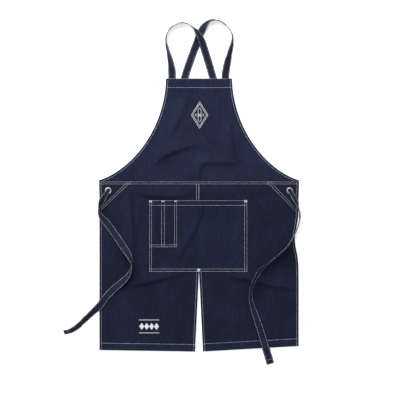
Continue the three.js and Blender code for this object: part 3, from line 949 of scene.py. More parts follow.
def skirt_grid(sign, step):
    """The grid of one skirt half, and which of its cells aren't in the eyelet's hole."""
    drop = edge_steps(SKIRT_DROP, step)
    across = edge_steps(HALF, step)
    share, down = np.meshgrid(across, drop)
    y = -FOLD_GAP - down * (hem_drop(sign, share) - FOLD_GAP)
    inner = slit_edge(-y)
    x = sign * (inner + share * (side_edge(sign, -y) - inner))
    x, y, keep = cut_eyelet_hole(x, y, sign)
    return x, y, share, down, keep


class APRON_OT_skirt(Builder):
    """The two skirt halves with their hems, the slit's facings and the lapped seams behind."""

    bl_idname = "apron.skirt"
    bl_label = "Skirt"

    def strip(self, name, x, y, replaced, depth=1.6 * MM):
        """A turned edge behind the cloth."""
        under = bpy.context.scene.apron_cloth.thickness / 2 + LAYER_GAP + depth / 2
        piece = cloth_slab(name, x, y, cloth_level(x, y) - under, depth, [skirt_denim()])
        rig.replaces(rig.ride(piece, "skirt"), replaced)
        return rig.slot(piece, "denim")

    def build(self, scene):
        cloth = scene.apron_cloth
        step = cloth.grid
        materials = [skirt_denim(), reverse_denim()]
        lap_depth = 0.8 * MM
        for sign, side in SIDES:
            x, y, share, down, keep = skirt_grid(sign, step)
            from_side = (1 - share) * HALF
            from_hem = (1 - down) * SKIRT_DROP
            rim = 0.12 * (1 - smooth_step(from_side, 5 * MM, 8 * MM))
            rim = np.maximum(rim, 0.66 * (1 - smooth_step(from_hem, 22 * MM, 25 * MM)))
            level = cloth_level(x, y)
            panel = cloth_slab(f"skirt_cloth_{side}", x, y, level, cloth.thickness, materials,
                               keep=keep, tone=rim)
            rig.replaces(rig.ride(panel, "skirt"), f"skirt_panel_{side}")
            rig.slot(panel, "denim")
            inner, outer = HALF - 10 * MM, HALF - 0.6 * MM
            rows = -84 * MM - edge_steps(0.44, step) * (SIDE_DROP[sign] - (84 + 22.4) * MM)
            cells = np.linspace(0, 1, 6)
            shift = side_edge(sign, -rows)[:, None] - HALF
            hem_x = sign * (inner + (outer - inner) * cells[None] + shift)
            side_hem = self.strip(f"side_hem_cloth_{side}", hem_x,
                                  np.broadcast_to(rows[:, None], hem_x.shape), f"side_hem_{side}")
            across = edge_steps(HALF, step)
            start = SLIT_MOUTH / 2 + 1 * MM
            hem_x = start + (HALF - 1.8 * MM - start) * across[None]
            low = -hem_drop(sign, hem_x / HALF) + 0.9 * MM
            hem_y = low + 21.2 * MM * edge_steps(22 * MM, step)[:, None]
            hem_x = sign * np.broadcast_to(hem_x, hem_y.shape)
            bottom = self.strip(f"bottom_hem_cloth_{side}", hem_x, hem_y, f"bottom_hem_{side}")
            top = SKIRT_DROP - SLIT_LENGTH + 2 * MM
            rows = top + edge_steps(0.23, step) * (SKIRT_DROP - 24.6 * MM - top)
            face_x = slit_edge(rows)[:, None] + 0.7 * MM + 10 * MM * cells[None]
            facing = self.strip(f"slit_facing_cloth_{side}", sign * face_x,
                                -np.broadcast_to(rows[:, None], face_x.shape),
                                f"slit_facing_{side}")
            patch = self.corner_patch(sign, side, step)
            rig.sheet(panel, flat=(HALF, SKIRT_DROP), held="laid", area=HALF * SKIRT_DROP * 0.96,
                     with_pieces=[side_hem, bottom, facing, patch])
        wide = edge_steps(2 * HALF, step) * (2 * HALF - 1.2 * MM) - HALF + 0.6 * MM
        lap_x, lap_y = np.meshgrid(wide, np.linspace(-10 * MM, 0.5 * MM, 6))
        self.strip("waist_lap_cloth", lap_x, lap_y, "waist_seam_lap", lap_depth)
        tall = -10.4 * MM - edge_steps(0.28, step) * (SKIRT_DROP - SLIT_LENGTH - 10.8 * MM)
        lap_x, lap_y = np.meshgrid(np.linspace(-10 * MM, -0.2 * MM, 6), tall)
        self.strip("centre_lap_cloth", lap_x, lap_y, "centre_seam_lap", lap_depth)

    def corner_patch(self, sign, side, step):
        """The triangle behind an eyelet, sewn down along its long side."""
        outer, top = HALF - 1.6 * MM, -10.4 * MM
        reach_x, reach_y = 86 * MM, 73 * MM
        across, down = np.meshgrid(edge_steps(reach_x, step), edge_steps(reach_y, step))
        left = outer - reach_x + (reach_x - 6 * MM) * smooth_line(down)
        x = left + (outer - left) * across
        x, y, keep = cut_eyelet_hole(sign * x, top - down * reach_y, sign)
        under = bpy.context.scene.apron_cloth.thickness / 2 + 0.55 * MM
        patch = cloth_slab(f"corner_patch_cloth_{side}", x, y, cloth_level(x, y) - under,
                           0.8 * MM, [skirt_denim()], keep=keep)
        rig.replaces(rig.ride(patch, "skirt"), f"corner_patch_{side}")
        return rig.slot(patch, "denim")


def smooth_line(down):
    """The patch's long side is straight from its top corner to its foot."""
    return np.clip((down - 0.08) / 0.92, 0, 1)


# ---- Pockets ----
POCKET_LEFT, POCKET_RIGHT = _pocket_low.x, _pocket_high.x
POCKET_TOP, POCKET_FOOT = _pocket_high.y - WAIST, _pocket_low.y - WAIST
PEN_RIGHT, PEN_FOOT = _pen_high.x, _pen_low.y - WAIST
PEN_DIVIDER = POCKET_LEFT + 45.4 * MM


def arch(value, low, high):
    """0 at both ends of a span and 1 in its middle."""
    t = np.clip((value - low) / (high - low), 0, 1)
    return np.sin(math.pi * t) ** 0.6


def pocket_level(x, y):
    """The middle of the pocket's cloth: sewn down at three edges, and its mouth a little open."""
    thick = bpy.context.scene.apron_cloth.thickness
    up = smooth_step(y, POCKET_FOOT + 9 * MM, POCKET_FOOT + 70 * MM)
    mouth = smooth_step(y, POCKET_TOP - 90 * MM, POCKET_TOP)
    bulge = arch(x, POCKET_LEFT + 9 * MM, POCKET_RIGHT - 9 * MM) * up * (1.6 + 2.8 * mouth) * MM
    return cloth_level(x, y) + thick + LAYER_GAP + bulge


def pen_level(x, y):
    """The middle of the pen pocket's cloth, over the pocket's."""
    thick = bpy.context.scene.apron_cloth.thickness
    up = smooth_step(y, PEN_FOOT + 8 * MM, PEN_FOOT + 40 * MM)
    left = arch(x, POCKET_LEFT + 8 * MM, PEN_DIVIDER - 5 * MM)
    right = arch(x, PEN_DIVIDER + 5 * MM, PEN_RIGHT - 9 * MM)
    mouth = smooth_step(y, POCKET_TOP - 60 * MM, POCKET_TOP)
    bulge = (left + right) * up * (1.4 + 2.6 * mouth) * MM
    return pocket_level(x, y) + thick + LAYER_GAP + bulge


class APRON_OT_pockets(Builder):
    """The patch pocket, its hem, and the pen pocket sewn over its left side."""

    bl_idname = "apron.pockets"
    bl_label = "Pockets"

    def panel(self, name, low, high, level, replaced, cloth):
        """One rectangle of cloth over the skirt."""
        x, y = np.meshgrid(
            low[0] + (high[0] - low[0]) * edge_steps(high[0] - low[0], cloth.grid * 0.8),
            low[1] + (high[1] - low[1]) * edge_steps(high[1] - low[1], cloth.grid * 0.8),
        )
        from_side = np.minimum(x - low[0], high[0] - x)
        tone = 0.06 * (1 - smooth_step(np.minimum(from_side, y - low[1]), 7 * MM, 10 * MM))
        tone = np.maximum(tone, 0.12 * smooth_step(y, high[1] - 18 * MM, high[1] - 16 * MM))
        piece = cloth_slab(name, x, y, level(x, y), cloth.thickness,
                           [pocket_denim(), reverse_denim()], tone=tone)
        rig.replaces(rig.ride(piece, "skirt"), replaced)
        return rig.slot(piece, "pocket_denim")

    def build(self, scene):
        cloth = scene.apron_cloth
        corners = (POCKET_LEFT, POCKET_FOOT), (POCKET_RIGHT, POCKET_TOP)
        pocket = self.panel("pocket_cloth", *corners, pocket_level, "pocket_panel", cloth)
        hem_span = (POCKET_LEFT + 21 * MM, POCKET_TOP - 18 * MM), (
            POCKET_RIGHT - 21 * MM, POCKET_TOP - 0.8 * MM)
        under = cloth.thickness + 0.08 * MM
        hem = self.panel("pocket_hem_cloth", *hem_span, lambda x, y: pocket_level(x, y) - under,
                         "pocket_hem", cloth)
        pen = self.panel("pen_pocket_cloth", (POCKET_LEFT, PEN_FOOT), (PEN_RIGHT, POCKET_TOP),
                         pen_level, "pen_pocket_panel", cloth)
        size = POCKET_RIGHT - POCKET_LEFT, POCKET_TOP - POCKET_FOOT
        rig.sheet(pocket, flat=size, held="laid", rests_on=["skirt_cloth_left",
                 "skirt_cloth_right"], with_pieces=[hem])
        size = PEN_RIGHT - POCKET_LEFT, POCKET_TOP - PEN_FOOT
        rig.sheet(pen, flat=size, held="laid", rests_on=["pocket_cloth"])


# ---- Eyelets ----
class APRON_OT_eyelets(Builder):
    """The rolled nickel eyelets and their washers behind the cloth."""

    bl_idname = "apron.eyelets"
    bl_label = "Eyelets"

    def ring(self, name, centre, profile, segments, metal, replaced):
        """A closed profile of radius and height, turned round the eyelet's axis."""
        profile = np.array(profile) * MM
        turn = np.linspace(0, 2 * math.pi, segments, endpoint=False)
        x = centre[0] + profile[None, :, 0] * np.cos(turn)[:, None]
        y = centre[1] + profile[None, :, 0] * np.sin(turn)[:, None]
        z = np.broadcast_to(profile[None, :, 1], x.shape)
        index = np.arange(x.size).reshape(x.shape)
        beside, after = np.roll(index, -1, 1), np.roll(index, -1, 0)
        faces = np.stack([index, after, np.roll(after, -1, 1), beside], -1).reshape(-1, 4)
        piece = new_piece(name, np.stack([x, y, z], -1).reshape(-1, 3), faces, [metal])
        face_outwards(piece)
        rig.replaces(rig.ride(piece, "skirt"), replaced)
        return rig.slot(piece, "eyelet_metal")

    def build(self, scene):
        settings = scene.apron_eyelets
        metal = nickel("Nickel Plate", settings.tint)
        arc = np.linspace(-0.5, 1.5, 15) * math.pi
        for sign, side in SIDES:
            centre = EYELET[sign]
            here = cloth_level(centre[0], centre[1] - WAIST) / MM
            top = float(here) + 0.55
            roll = [(8.35 + 2.15 * math.cos(a), top + 0.35 + 0.85 * math.sin(a))
                    for a in arc[3:12]]
            barrel = [(6.25, top + 0.1), (6.2, 3.4), (6.35, 2.55), (6.85, 2.35), (6.8, 2.9),
                      (6.7, 3.4), (6.7, top - 0.1), (8.2, top - 0.1), (10.1, top - 0.25)]
            self.ring(f"eyelet_ring_{side}", centre, roll + barrel, settings.segments, metal,
                      f"eyelet_{side}")
            washer = [(7.0, 3.15), (7.2, 3.35), (8.6, 3.55), (9.7, 3.35), (10, 3.1), (9.8, 2.95),
                      (8.6, 2.9), (7.2, 2.9)]
            self.ring(f"eyelet_washer_ring_{side}", centre, washer, settings.segments, metal,
                      f"eyelet_washer_{side}")


# ---- Straps ----
# The shoulder loops, from the middle of the bib's top edge: x, y, roll in degrees and what the
# strap's lower edge rests on, in millimetres.
LOOPS = {
    "left": (
        (-87.5, -26, 0, 1.0), (-87.5, -12, 0, 1.0), (-87.5, 0, 0, 1.0), (-88, 21, 8, 0.1),
        (-91, 47, 36, 0.1), (-99.5, 84, 66, 0.1), (-107, 117, 80, 0.1), (-106, 139, 83, 0.1),
        (-96, 159, 84, 0.1), (-78, 173, 84, 0.1), (-57, 180, 84, 0.1), (-35, 175, 84, 2.4),
        (-16, 161.5, 72, 4.2), (-5, 147, 48, 4.4), (8.5, 122, 20, 3.4), (21, 84, 6, 1),
        (32.5, 47, 0, 0.1), (40, 21, 0, 0.1), (46, 0, 0, 0.1), (49, -13, 0, 0.1),
        (53.2, -30, 0, 0.1),
    ),
    "right": (
        (85.5, -26, 0, 1.0), (85.5, -12, 0, 1.0), (85.5, 0, 0, 1.0), (87.3, 21, -6, 0.1),
        (91.8, 47, -24, 0.1), (100.6, 84, -50, 0.1), (108.4, 117, -74, 0.1),
        (108.6, 139, -83, 0.1), (102.4, 154, -84, 0.1), (88.7, 171, -84, 0.1),
        (71, 184, -84, 0.1), (53.3, 189, -82, 0.1), (37, 187, -68, 0.1), (24, 177, -42, 0.1),
        (13, 162, -14, 0.1), (4.5, 146, -2, 0.1), (-4.5, 122, 0, 0.1), (-18.8, 84, 0, 0.1),
        (-32.2, 47, 0, 0.1), (-40.8, 21, 0, 0.1), (-46.8, 0, 0, 0.1), (-49.2, -13, 0, 0.1),
        (-53.2, -30, 0, 0.1),
    ),
}
# The ties, from the middle of their eyelet: x, y, roll and, where the strap is bunched up, its
# width.
TIES = {
    "left": (
        (-16, -26, 24, 22), (-26, -46, 66), (-29.5, -63, 104), (-21, -84, 150), (-2, -108, 176),
        (24, -144, 180), (50, -183, 190), (70, -215, 232), (77, -242, 270), (68, -272, 312),
        (47, -295, 342), (21, -317, 358), (-5, -343, 368), (-26, -372, 386), (-44, -389, 400),
        (-73, -416, 404), (-102, -443, 408), (-125, -456, 410), (-143, -460, 412),
    ),
    "right": (
        (16, -28, 30, 22), (26, -52, 72), (32, -76, 90), (30, -100, 90), (20, -130, 90),
        (-3.5, -173, 86), (-33, -204, 83), (-65, -231, 78), (-94.5, -254, 62), (-112.4, -282, 55),
        (-125.4, -314, 62), (-128.6, -347, 60), (-122, -376, 42), (-107.5, -418, 22),
        (-91.2, -467, 8), (-76.6, -516, 0), (-69.2, -540, 0), (-62.6, -563, 0),
    ),
}
HEADING = {-1: np.array([-0.53, -0.85]), 1: np.array([0.56, -0.83])}
RUN_SPREAD, RUN_SLANT = 46 * MM, 0.2


def smooth_route(points, at):
    """Points at shares of a route: a centripetal Catmull-Rom curve through its stations."""
    points = np.asarray(points, float)
    full = np.vstack([2 * points[0] - points[1], points, 2 * points[-1] - points[-2]])
    place = np.asarray(at) * (len(points) - 1)
    i = np.minimum(place.astype(int), len(points) - 2)
    t = (place - i)[:, None]
    p0, p1, p2, p3 = (full[i + k] for k in range(4))
    d0, d1, d2 = (
        np.sqrt(np.linalg.norm(b - a, axis=1))[:, None] for a, b in ((p0, p1), (p1, p2), (p2, p3))
    )
    m1 = ((p1 - p0) / d0 - (p2 - p0) / (d0 + d1) + (p2 - p1) / d1) * d1
    m2 = ((p2 - p1) / d1 - (p3 - p1) / (d1 + d2) + (p3 - p2) / d2) * d1
    turn = -3 * p1 + 3 * p2 - 2 * m1 - m2
    return p1 + m1 * t + turn * t**2 + (2 * p1 - 2 * p2 + m1 + m2) * t**3


def softened(values, reach):
    """Values along a strap, evened out over a few rings. The ends stay."""
    if reach < 1:
        return values
    weights = np.hanning(2 * reach + 3)[1:-1]
    padded = np.concatenate([np.full(reach, values[0]), values, np.full(reach, values[-1])])
    return np.convolve(padded, weights / weights.sum(), "valid")


class Ribbon:
    """A folded strap along stations (x, y, roll, lower edge, width), in metres and degrees."""

    def __init__(self, stations, rings, seed, rests=None):
        settings = bpy.context.scene.apron_straps
        stations = np.array(stations, float)
        fine = np.linspace(0, 1, 2400)
        plan = smooth_route(stations[:, :2], fine)
        run = np.concatenate([[0], np.cumsum(np.linalg.norm(np.diff(plan, axis=0), axis=1))])
        even = np.linspace(0, run[-1], rings)
        share = np.interp(even, run, fine)
        self.plan = np.stack([np.interp(even, run, plan[:, k]) for k in (0, 1)], -1)
        reach = int(9 * MM / (run[-1] / rings))
        knots = np.linspace(0, 1, len(stations))
        near = smooth_step(even, 12 * MM, 30 * MM) if rests else 1.0
        values = (np.interp(share, knots, stations[:, k]) for k in (2, 3, 4))
        roll, level, width = (v + (softened(v, reach) - v) * near for v in values)
        self.roll = np.radians(roll)
        self.width = width
        self.pleat = np.clip(1 - width / settings.width, 0, 1) * 2.4 * MM
        self.pleat *= smooth_step(even, 5 * MM, 13 * MM) if rests else 0.0
        self.thick = settings.thickness * (1 - 0.25 * self.pleat / (2.4 * MM))
        rng = np.random.default_rng(seed)
        waves = sum(
            rng.uniform(0.3, 1) * np.sin(2 * math.pi * even / wave + rng.uniform(0, 6.3))
            for wave in (0.09, 0.061, 0.043, 0.028)
        )
        from_end = np.minimum(even, run[-1] - even)
        self.roll = self.roll + 0.035 * waves * np.clip(from_end / 0.05, 0, 1)
        if rests is not None:
            level, self.roll = rests(self.plan, width, self.roll, level, reach)
        tall = self.width * abs(np.sin(self.roll)) + (self.thick + 2 * self.pleat) * abs(
            np.cos(self.roll))
        self.points = np.column_stack([self.plan, level + tall / 2])
        along = np.gradient(self.points, axis=0)
        along /= np.linalg.norm(along, axis=1)[:, None]
        across = np.cross(along, (0, 0, 1))
        across /= np.linalg.norm(across, axis=1)[:, None]
        across = across * np.cos(self.roll)[:, None] + np.array([0, 0, 1]) * np.sin(
            self.roll)[:, None]
        across -= along * np.einsum("ij,ij->i", across, along)[:, None]
        self.across = across / np.linalg.norm(across, axis=1)[:, None]
        self.through = np.cross(self.across, along)
        self.long = float(np.linalg.norm(np.diff(self.points, axis=0), axis=1).sum())
        self.edges = 1 + 0.012 * np.sin(even / 0.021 + seed) * np.sin(even / 0.0137)

    def height(self, share):
        """How far the middle of the folded cloth is pleated up or down, at a share of the width."""
        return self.pleat[:, None] * np.cos(1.5 * math.pi * share[None])

    def section(self):
        """Each ring's points: a flat fold with rounded edges, pressed in at the stitching."""
        margin = 2 * bpy.context.scene.apron_straps.margin / bpy.context.scene.apron_straps.width
        side = np.array([-1, -0.985, -0.955, -0.9, -1 + margin - 0.03, -1 + margin,
                         -1 + margin + 0.05, -0.6, -0.3])
        share = np.concatenate([side, [0], -side[::-1]])
        half = np.interp(
            np.abs(share),
            [0, 0.6, 1 - margin - 0.05, 1 - margin, 1 - margin + 0.03, 0.9, 0.955, 0.985, 1],
            [1, 1, 0.96, 0.82, 0.92, 0.97, 0.82, 0.6, 0.3],
        )
        share = np.concatenate([share, share[::-1]])
        half = np.concatenate([half, -half[::-1]])
        across = self.width[:, None] / 2 * share[None] * self.edges[:, None]
        return np.stack([across, self.height(share) + self.thick[:, None] / 2 * half[None]], -1)

    def build(self, name, materials):
        return sweep(name, self.points, self.across, self.through, self.section(), materials)

    def seams(self, start=0.0, end=0.0, close=None):
        """The stitch lines along both edges, on both faces. close adds one across an end."""
        margin = 2 * bpy.context.scene.apron_straps.margin / bpy.context.scene.apron_straps.width
        rings = np.arange(len(self.points))
        here = (rings >= start * len(rings)) & (rings <= (1 - end) * len(rings))
        lines = []
        for face in (-1, 1):
            for share in (-1 + margin, 1 - margin):
                lines.append(self.face_points(share, face)[here])
            if close:
                at = min(int(close * len(rings)), len(rings) - 1)
                shares = np.linspace(-1 + margin, 1 - margin, 9)
                lines.append(np.array([self.face_points(s, face)[at] for s in shares]))
        return lines

    def face_points(self, share, face):
        """Just over one face, at a share of the width."""
        rise = self.height(np.array([share]))[:, 0] + face * (self.thick * 0.41 + 0.12 * MM)
        return self.points + self.across * (self.width / 2 * share * self.edges)[:, None] + (
            self.through * rise[:, None])


def rest_on_cloth(plan, width, roll, level, spread):
    """The lower edge and the roll of something that lies on the front, on the cloth under it."""
    gap = 0.7 * MM
    along = np.gradient(plan, axis=0)
    run = np.concatenate([[0], np.cumsum(np.linalg.norm(np.diff(plan, axis=0), axis=1))])
    along /= np.linalg.norm(along, axis=1)[:, None]
    side = np.stack([along[:, 1], -along[:, 0]], -1)
    shares = np.linspace(-1, 1, 17)
    steepest = 0.36
    flat = abs(np.cos(roll))
    reach = flat * width / 2 + 1.5 * MM
    found = []
    for share in shares:
        at = plan + side * (share * reach)[:, None]
        found.append(front_level(at[:, 0], at[:, 1] - WAIST))
    near = max(spread, 1)
    padded = np.pad(found, ((1, 1), (near, near)), mode="edge")
    padded = np.maximum(np.maximum(padded[:-2], padded[2:]), padded[1:-1])
    found = np.array([padded[:, i:i + 2 * near + 1].max(1) for i in range(len(plan))])
    found = np.array([softened(row, near) for row in found.T])
    slope = (found[11:].mean(0) - found[:6].mean(0)) / (2 * shares[11:].mean())
    slope = softened(np.clip(slope, -steepest * reach, steepest * reach), near)
    slope *= smooth_step(run, 22 * MM, 50 * MM)
    roll = roll + np.arctan2(slope, reach) * flat**2
    rise = np.sign(np.cos(roll)) * np.sin(roll) * (width / 2 + 1.5 * MM)
    middle = (found - shares[:, None] * rise).max(0)
    return np.maximum(middle - abs(np.sin(roll)) * width / 2 + gap, level), roll


def tie_stations(sign, side):
    """A tie comes up through its eyelet, over the flange and onto the cloth."""
    centre, heading = EYELET[sign], HEADING[sign]
    top = FLANGE_TOP + 0.25 * MM
    stations = []
    for reach, level, width in ((-5.6, 2.5 * MM, 6), (-3, 2.8 * MM, 8.5), (0, 3.6 * MM, 10),
                                (3.4, 5.4 * MM, 10.4), (6.4, top, 11.5), (13, top, 15)):
        x, y = centre + heading * reach * MM
        stations.append((x, y, 0, level, width * MM))
    for x, y, roll, *width in TIES[side]:
        wide = width[0] if width else 25
        stations.append((centre[0] + x * MM, centre[1] + y * MM, roll, 0.15 * MM, wide * MM))
    return stations


def run_stations(sign):
    """The hidden run behind the bib, from under its top edge to the eyelet it comes out of."""
    eye = EYELET[1] - (0, WAIST)
    drop = BIB_HEIGHT - eye[1]
    bend = (eye[0] - RUN_SPREAD - RUN_SLANT * drop) / drop**2
    stations = []
    for down in np.linspace(30 * MM, drop + 3 * MM, 26):
        x = RUN_SPREAD + RUN_SLANT * down + bend * down**2
        left = np.clip((drop - down) / (34 * MM), 0, 1)
        wide = (11 + 14 * left**0.7) * MM
        stations.append((sign * x, WAIST + BIB_HEIGHT - down, 0, 0.1 * MM, wide))
    return stations


class APRON_OT_straps(Builder):
    """The shoulder loops, the runs behind the bib and the ties."""

    bl_idname = "apron.straps"
    bl_label = "Straps"

    def finish(self, piece, lines, exit, ribbon, far_end, follow, nodes):
        """Sews one stretch of strap and says what it is."""
        sewn = sew(piece.name.replace("cloth", "stitching"), lines, lift=0.0)
        for part in (piece, sewn):
            follow(part)
        if nodes:
            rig.replaces(piece, *nodes)
        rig.slot(piece, "strap_denim")
        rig.cord(piece, exit=exit, length=ribbon.long, diameter=bpy.context.scene.apron_straps.width,
                far_end=far_end, stiffness="limp", lay="loose", path=ribbon.points.tolist(),
                with_pieces=[sewn])

    def build(self, scene):
        rings = scene.apron_straps.rings
        cloth = [strap_denim()]
        top = WAIST + BIB_HEIGHT
        for sign, side in SIDES:
            stations = [(x * MM, top + y * MM, roll, level * MM, 25 * MM)
                        for x, y, roll, level in LOOPS[side]]
            ribbon = Ribbon(stations, rings, 3 + sign)
            loop = ribbon.build(f"strap_{side}_loop_cloth", cloth)
            self.finish(
                loop, ribbon.seams(), (sign * 88 * MM, top, 2 * MM), ribbon, "object",
                bend_at_bib_top, [f"strap_{side}_sewn_end", f"strap_{side}_loop"])
            ribbon = Ribbon(run_stations(-sign), rings, 13 + sign)
            run = ribbon.build(f"strap_{side}_run_cloth", cloth)
            self.finish(
                run, ribbon.seams(), ribbon.points[0].tolist(), ribbon, "object", bend_at_waist,
                [f"strap_{side}_back_run", f"strap_{side}_waist_run"])
            eye = "right" if side == "left" else "left"
            ribbon = Ribbon(tie_stations(-sign, eye), rings + 60, 23 + sign, rest_on_cloth)
            tie = ribbon.build(f"strap_{side}_tie_cloth", cloth)
            self.finish(
                tie, ribbon.seams(start=0.018, end=0.012, close=0.975),
                (*EYELET[-sign], FLANGE_TOP), ribbon, "bare",
                lambda part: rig.ride(part, f"tie_at_{eye}_eyelet"), [f"strap_{side}_tie"])


# ---- Topstitching and marks ----
def both_faces(x, y):
    """A seam's line on the front of the cloth, and on its back."""
    front = on_cloth(x, y)
    back = front.copy()
    back[:, 2] -= bpy.context.scene.apron_cloth.thickness + 0.2 * MM
    return [front, back]


def mm(*values):
    """Numbers in millimetres, as metres."""
    return np.array(values, float) * MM


class APRON_OT_stitching(Builder):
    """The contrast topstitching of the panels and pockets."""

    bl_idname = "apron.stitching"
    bl_label = "Topstitching"

    def build(self, scene):
        self.sew_bib()
        self.sew_skirt()
        self.sew_pockets()

    def sew_bib(self):
        """The two lines of the bib's hem, and one along each armhole."""
        lines = []
        for low in (1.2 * MM, 30 * MM):
            reach = TOP_HALF - 2.4 * MM
            lines += both_faces([-reach, reach], [BIB_HEIGHT - low] * 2)
        for sign, _ in SIDES:
            line = armhole(np.linspace(0.035, 0.985, 90))
            along = np.gradient(line, axis=0)
            along /= np.linalg.norm(along, axis=1)[:, None]
            line = line + np.stack([-along[:, 1], along[:, 0]], -1) * 6.5 * MM
            line = line[line[:, 1] < BIB_HEIGHT - 1.2 * MM]
            lines += both_faces(sign * line[:, 0], line[:, 1])
        bend_at_waist(sew("bib_stitching", lines))

    def sew_skirt(self):
        """The waist seam, the hems, the slit, the centre seam and the patches' long sides."""
        for sign, side in SIDES:
            lines = []
            for y in (-1.6, -8.1):
                lines += both_faces(sign * mm(1.6, 320), mm(y, y))
            drop = np.linspace(3 * MM, SIDE_DROP[sign] - 2 * MM, 60)
            lines += both_faces(sign * (side_edge(sign, drop) - 6.5 * MM), -drop)
            share = np.linspace(0.028, 0.985, 30)
            above_hem = (22.8 if sign < 0 else 24.2) * MM
            lines += both_faces(sign * share * HALF, above_hem - hem_drop(sign, share))
            drop = np.linspace(SKIRT_DROP - SLIT_LENGTH + 3 * MM, SKIRT_DROP - 2 * MM, 30)
            lines += both_faces(sign * (slit_edge(drop) + 6.5 * MM), -drop)
            if sign < 0:
                for x in (-8.1, -0.8):
                    lines += both_faces(mm(x, x), np.array([-9 * MM, SLIT_LENGTH - SKIRT_DROP]))
                patch = [((-232, -1.6), (-317, -84)), ((-222, -1.6), (-317, -92))]
            else:
                patch = [((222, -1.6), (318, -101)), ((233, -1.6), (318, -92))]
            for ends in patch:
                lines += both_faces(*(mm(*axis) for axis in zip(*ends)))
            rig.ride(sew(f"skirt_stitching_{side}", lines), "skirt")

    def sew_pockets(self):
        """The lines of the two pockets, on their fronts."""
        half = bpy.context.scene.apron_cloth.thickness / 2

        def line(level, x, y):
            flat = on_cloth(x, y)
            flat[:, 2] = level(flat[:, 0], flat[:, 1] - WAIST) + half
            return flat

        left, right = POCKET_LEFT / MM, POCKET_RIGHT / MM
        top, foot = POCKET_TOP / MM, POCKET_FOOT / MM
        pen_foot, pen_right, divider = (v / MM for v in (PEN_FOOT, PEN_RIGHT, PEN_DIVIDER))
        pocket, pen = [], []
        for x in (left + 1.8, left + 8.2):
            pocket.append(line(pocket_level, mm(x, x), mm(pen_foot - 1, foot + 2.5)))
            pen.append(line(pen_level, mm(x, x), mm(top - 1.5, pen_foot + 1)))
        for x in (right - 1.7, right - 9.6):
            pocket.append(line(pocket_level, mm(x, x), mm(top - 1.5, foot + 2.5)))
        for y in (foot + 2.5, foot + 10.6):
            pocket.append(line(pocket_level, mm(left + 2.2, right - 2.2), mm(y, y)))
        for y in (top - 1.5, top - 16.7):
            pocket.append(line(pocket_level, mm(pen_right + 1, right - 2.2), mm(y, y)))
            pen.append(line(pen_level, mm(left + 2.2, pen_right - 1.5), mm(y, y)))
        for x in (pen_right - 2, pen_right - 9, divider - 4.6, divider + 4.6):
            pen.append(line(pen_level, mm(x, x), mm(top - 1.5, pen_foot + 3.5)))
        for y in (pen_foot + 1.6, pen_foot + 8):
            pen.append(line(pen_level, mm(left + 2.2, pen_right - 2), mm(y, y)))
        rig.ride(sew("pocket_stitching", pocket), "skirt")
        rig.ride(sew("pen_pocket_stitching", pen), "skirt")


class APRON_OT_tacks(Builder):
    """The dense white tacks at the pockets' corners and the top of the slit."""

    bl_idname = "apron.tacks"
    bl_label = "Bar Tacks"

    def satin(self, x, y, wide, tall, level, turn=0.0):
        """Thread laid to and fro over a rectangle."""
        count = max(2, round(tall / 0.55))
        across = np.tile([-wide / 2, wide / 2, wide / 2, -wide / 2], count // 2 + 1)[:2 * count]
        down = np.repeat(np.linspace(-tall / 2, tall / 2, count), 2)
        c, s = math.cos(math.radians(turn)), math.sin(math.radians(turn))
        points_x = mm(*(x + across * c - down * s))
        points_y = mm(*(y + across * s + down * c))
        return np.stack([points_x, points_y + WAIST, level(points_x, points_y)
                         + bpy.context.scene.apron_cloth.thickness / 2 + 0.15 * MM], -1)

    def build(self, scene):
        left, right, top = POCKET_LEFT / MM, POCKET_RIGHT / MM, POCKET_TOP / MM
        divider, pen_right = PEN_DIVIDER / MM, PEN_RIGHT / MM
        slit = (SLIT_LENGTH - SKIRT_DROP) / MM
        tacks = {
            "pocket_left": [self.satin(left + 5.5, top - 4, 8.5, 4.5, pen_level)],
            "pocket_right": [self.satin(right - 5.8, top - 4, 9, 2.2, pocket_level, 38),
                             self.satin(right - 5.8, top - 4, 9, 2.2, pocket_level, -38)],
            "pen_divider": [self.satin(divider, top - 3.4, 8, 2.6, pen_level)],
            "pen_right": [self.satin(pen_right - 5.5, top - 3.4, 7, 2.6, pen_level)],
            "slit": [self.satin(-0.8, slit + 4, 8, 8, pocket_level)],
        }
        for name, lines in tacks.items():
            tack = sew(f"tack_{name}", lines, pitch=1.3 * MM, stitch=1.9 * MM, radius=0.34 * MM)
            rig.replaces(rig.ride(tack, "skirt"), f"bar_tack_{name}")


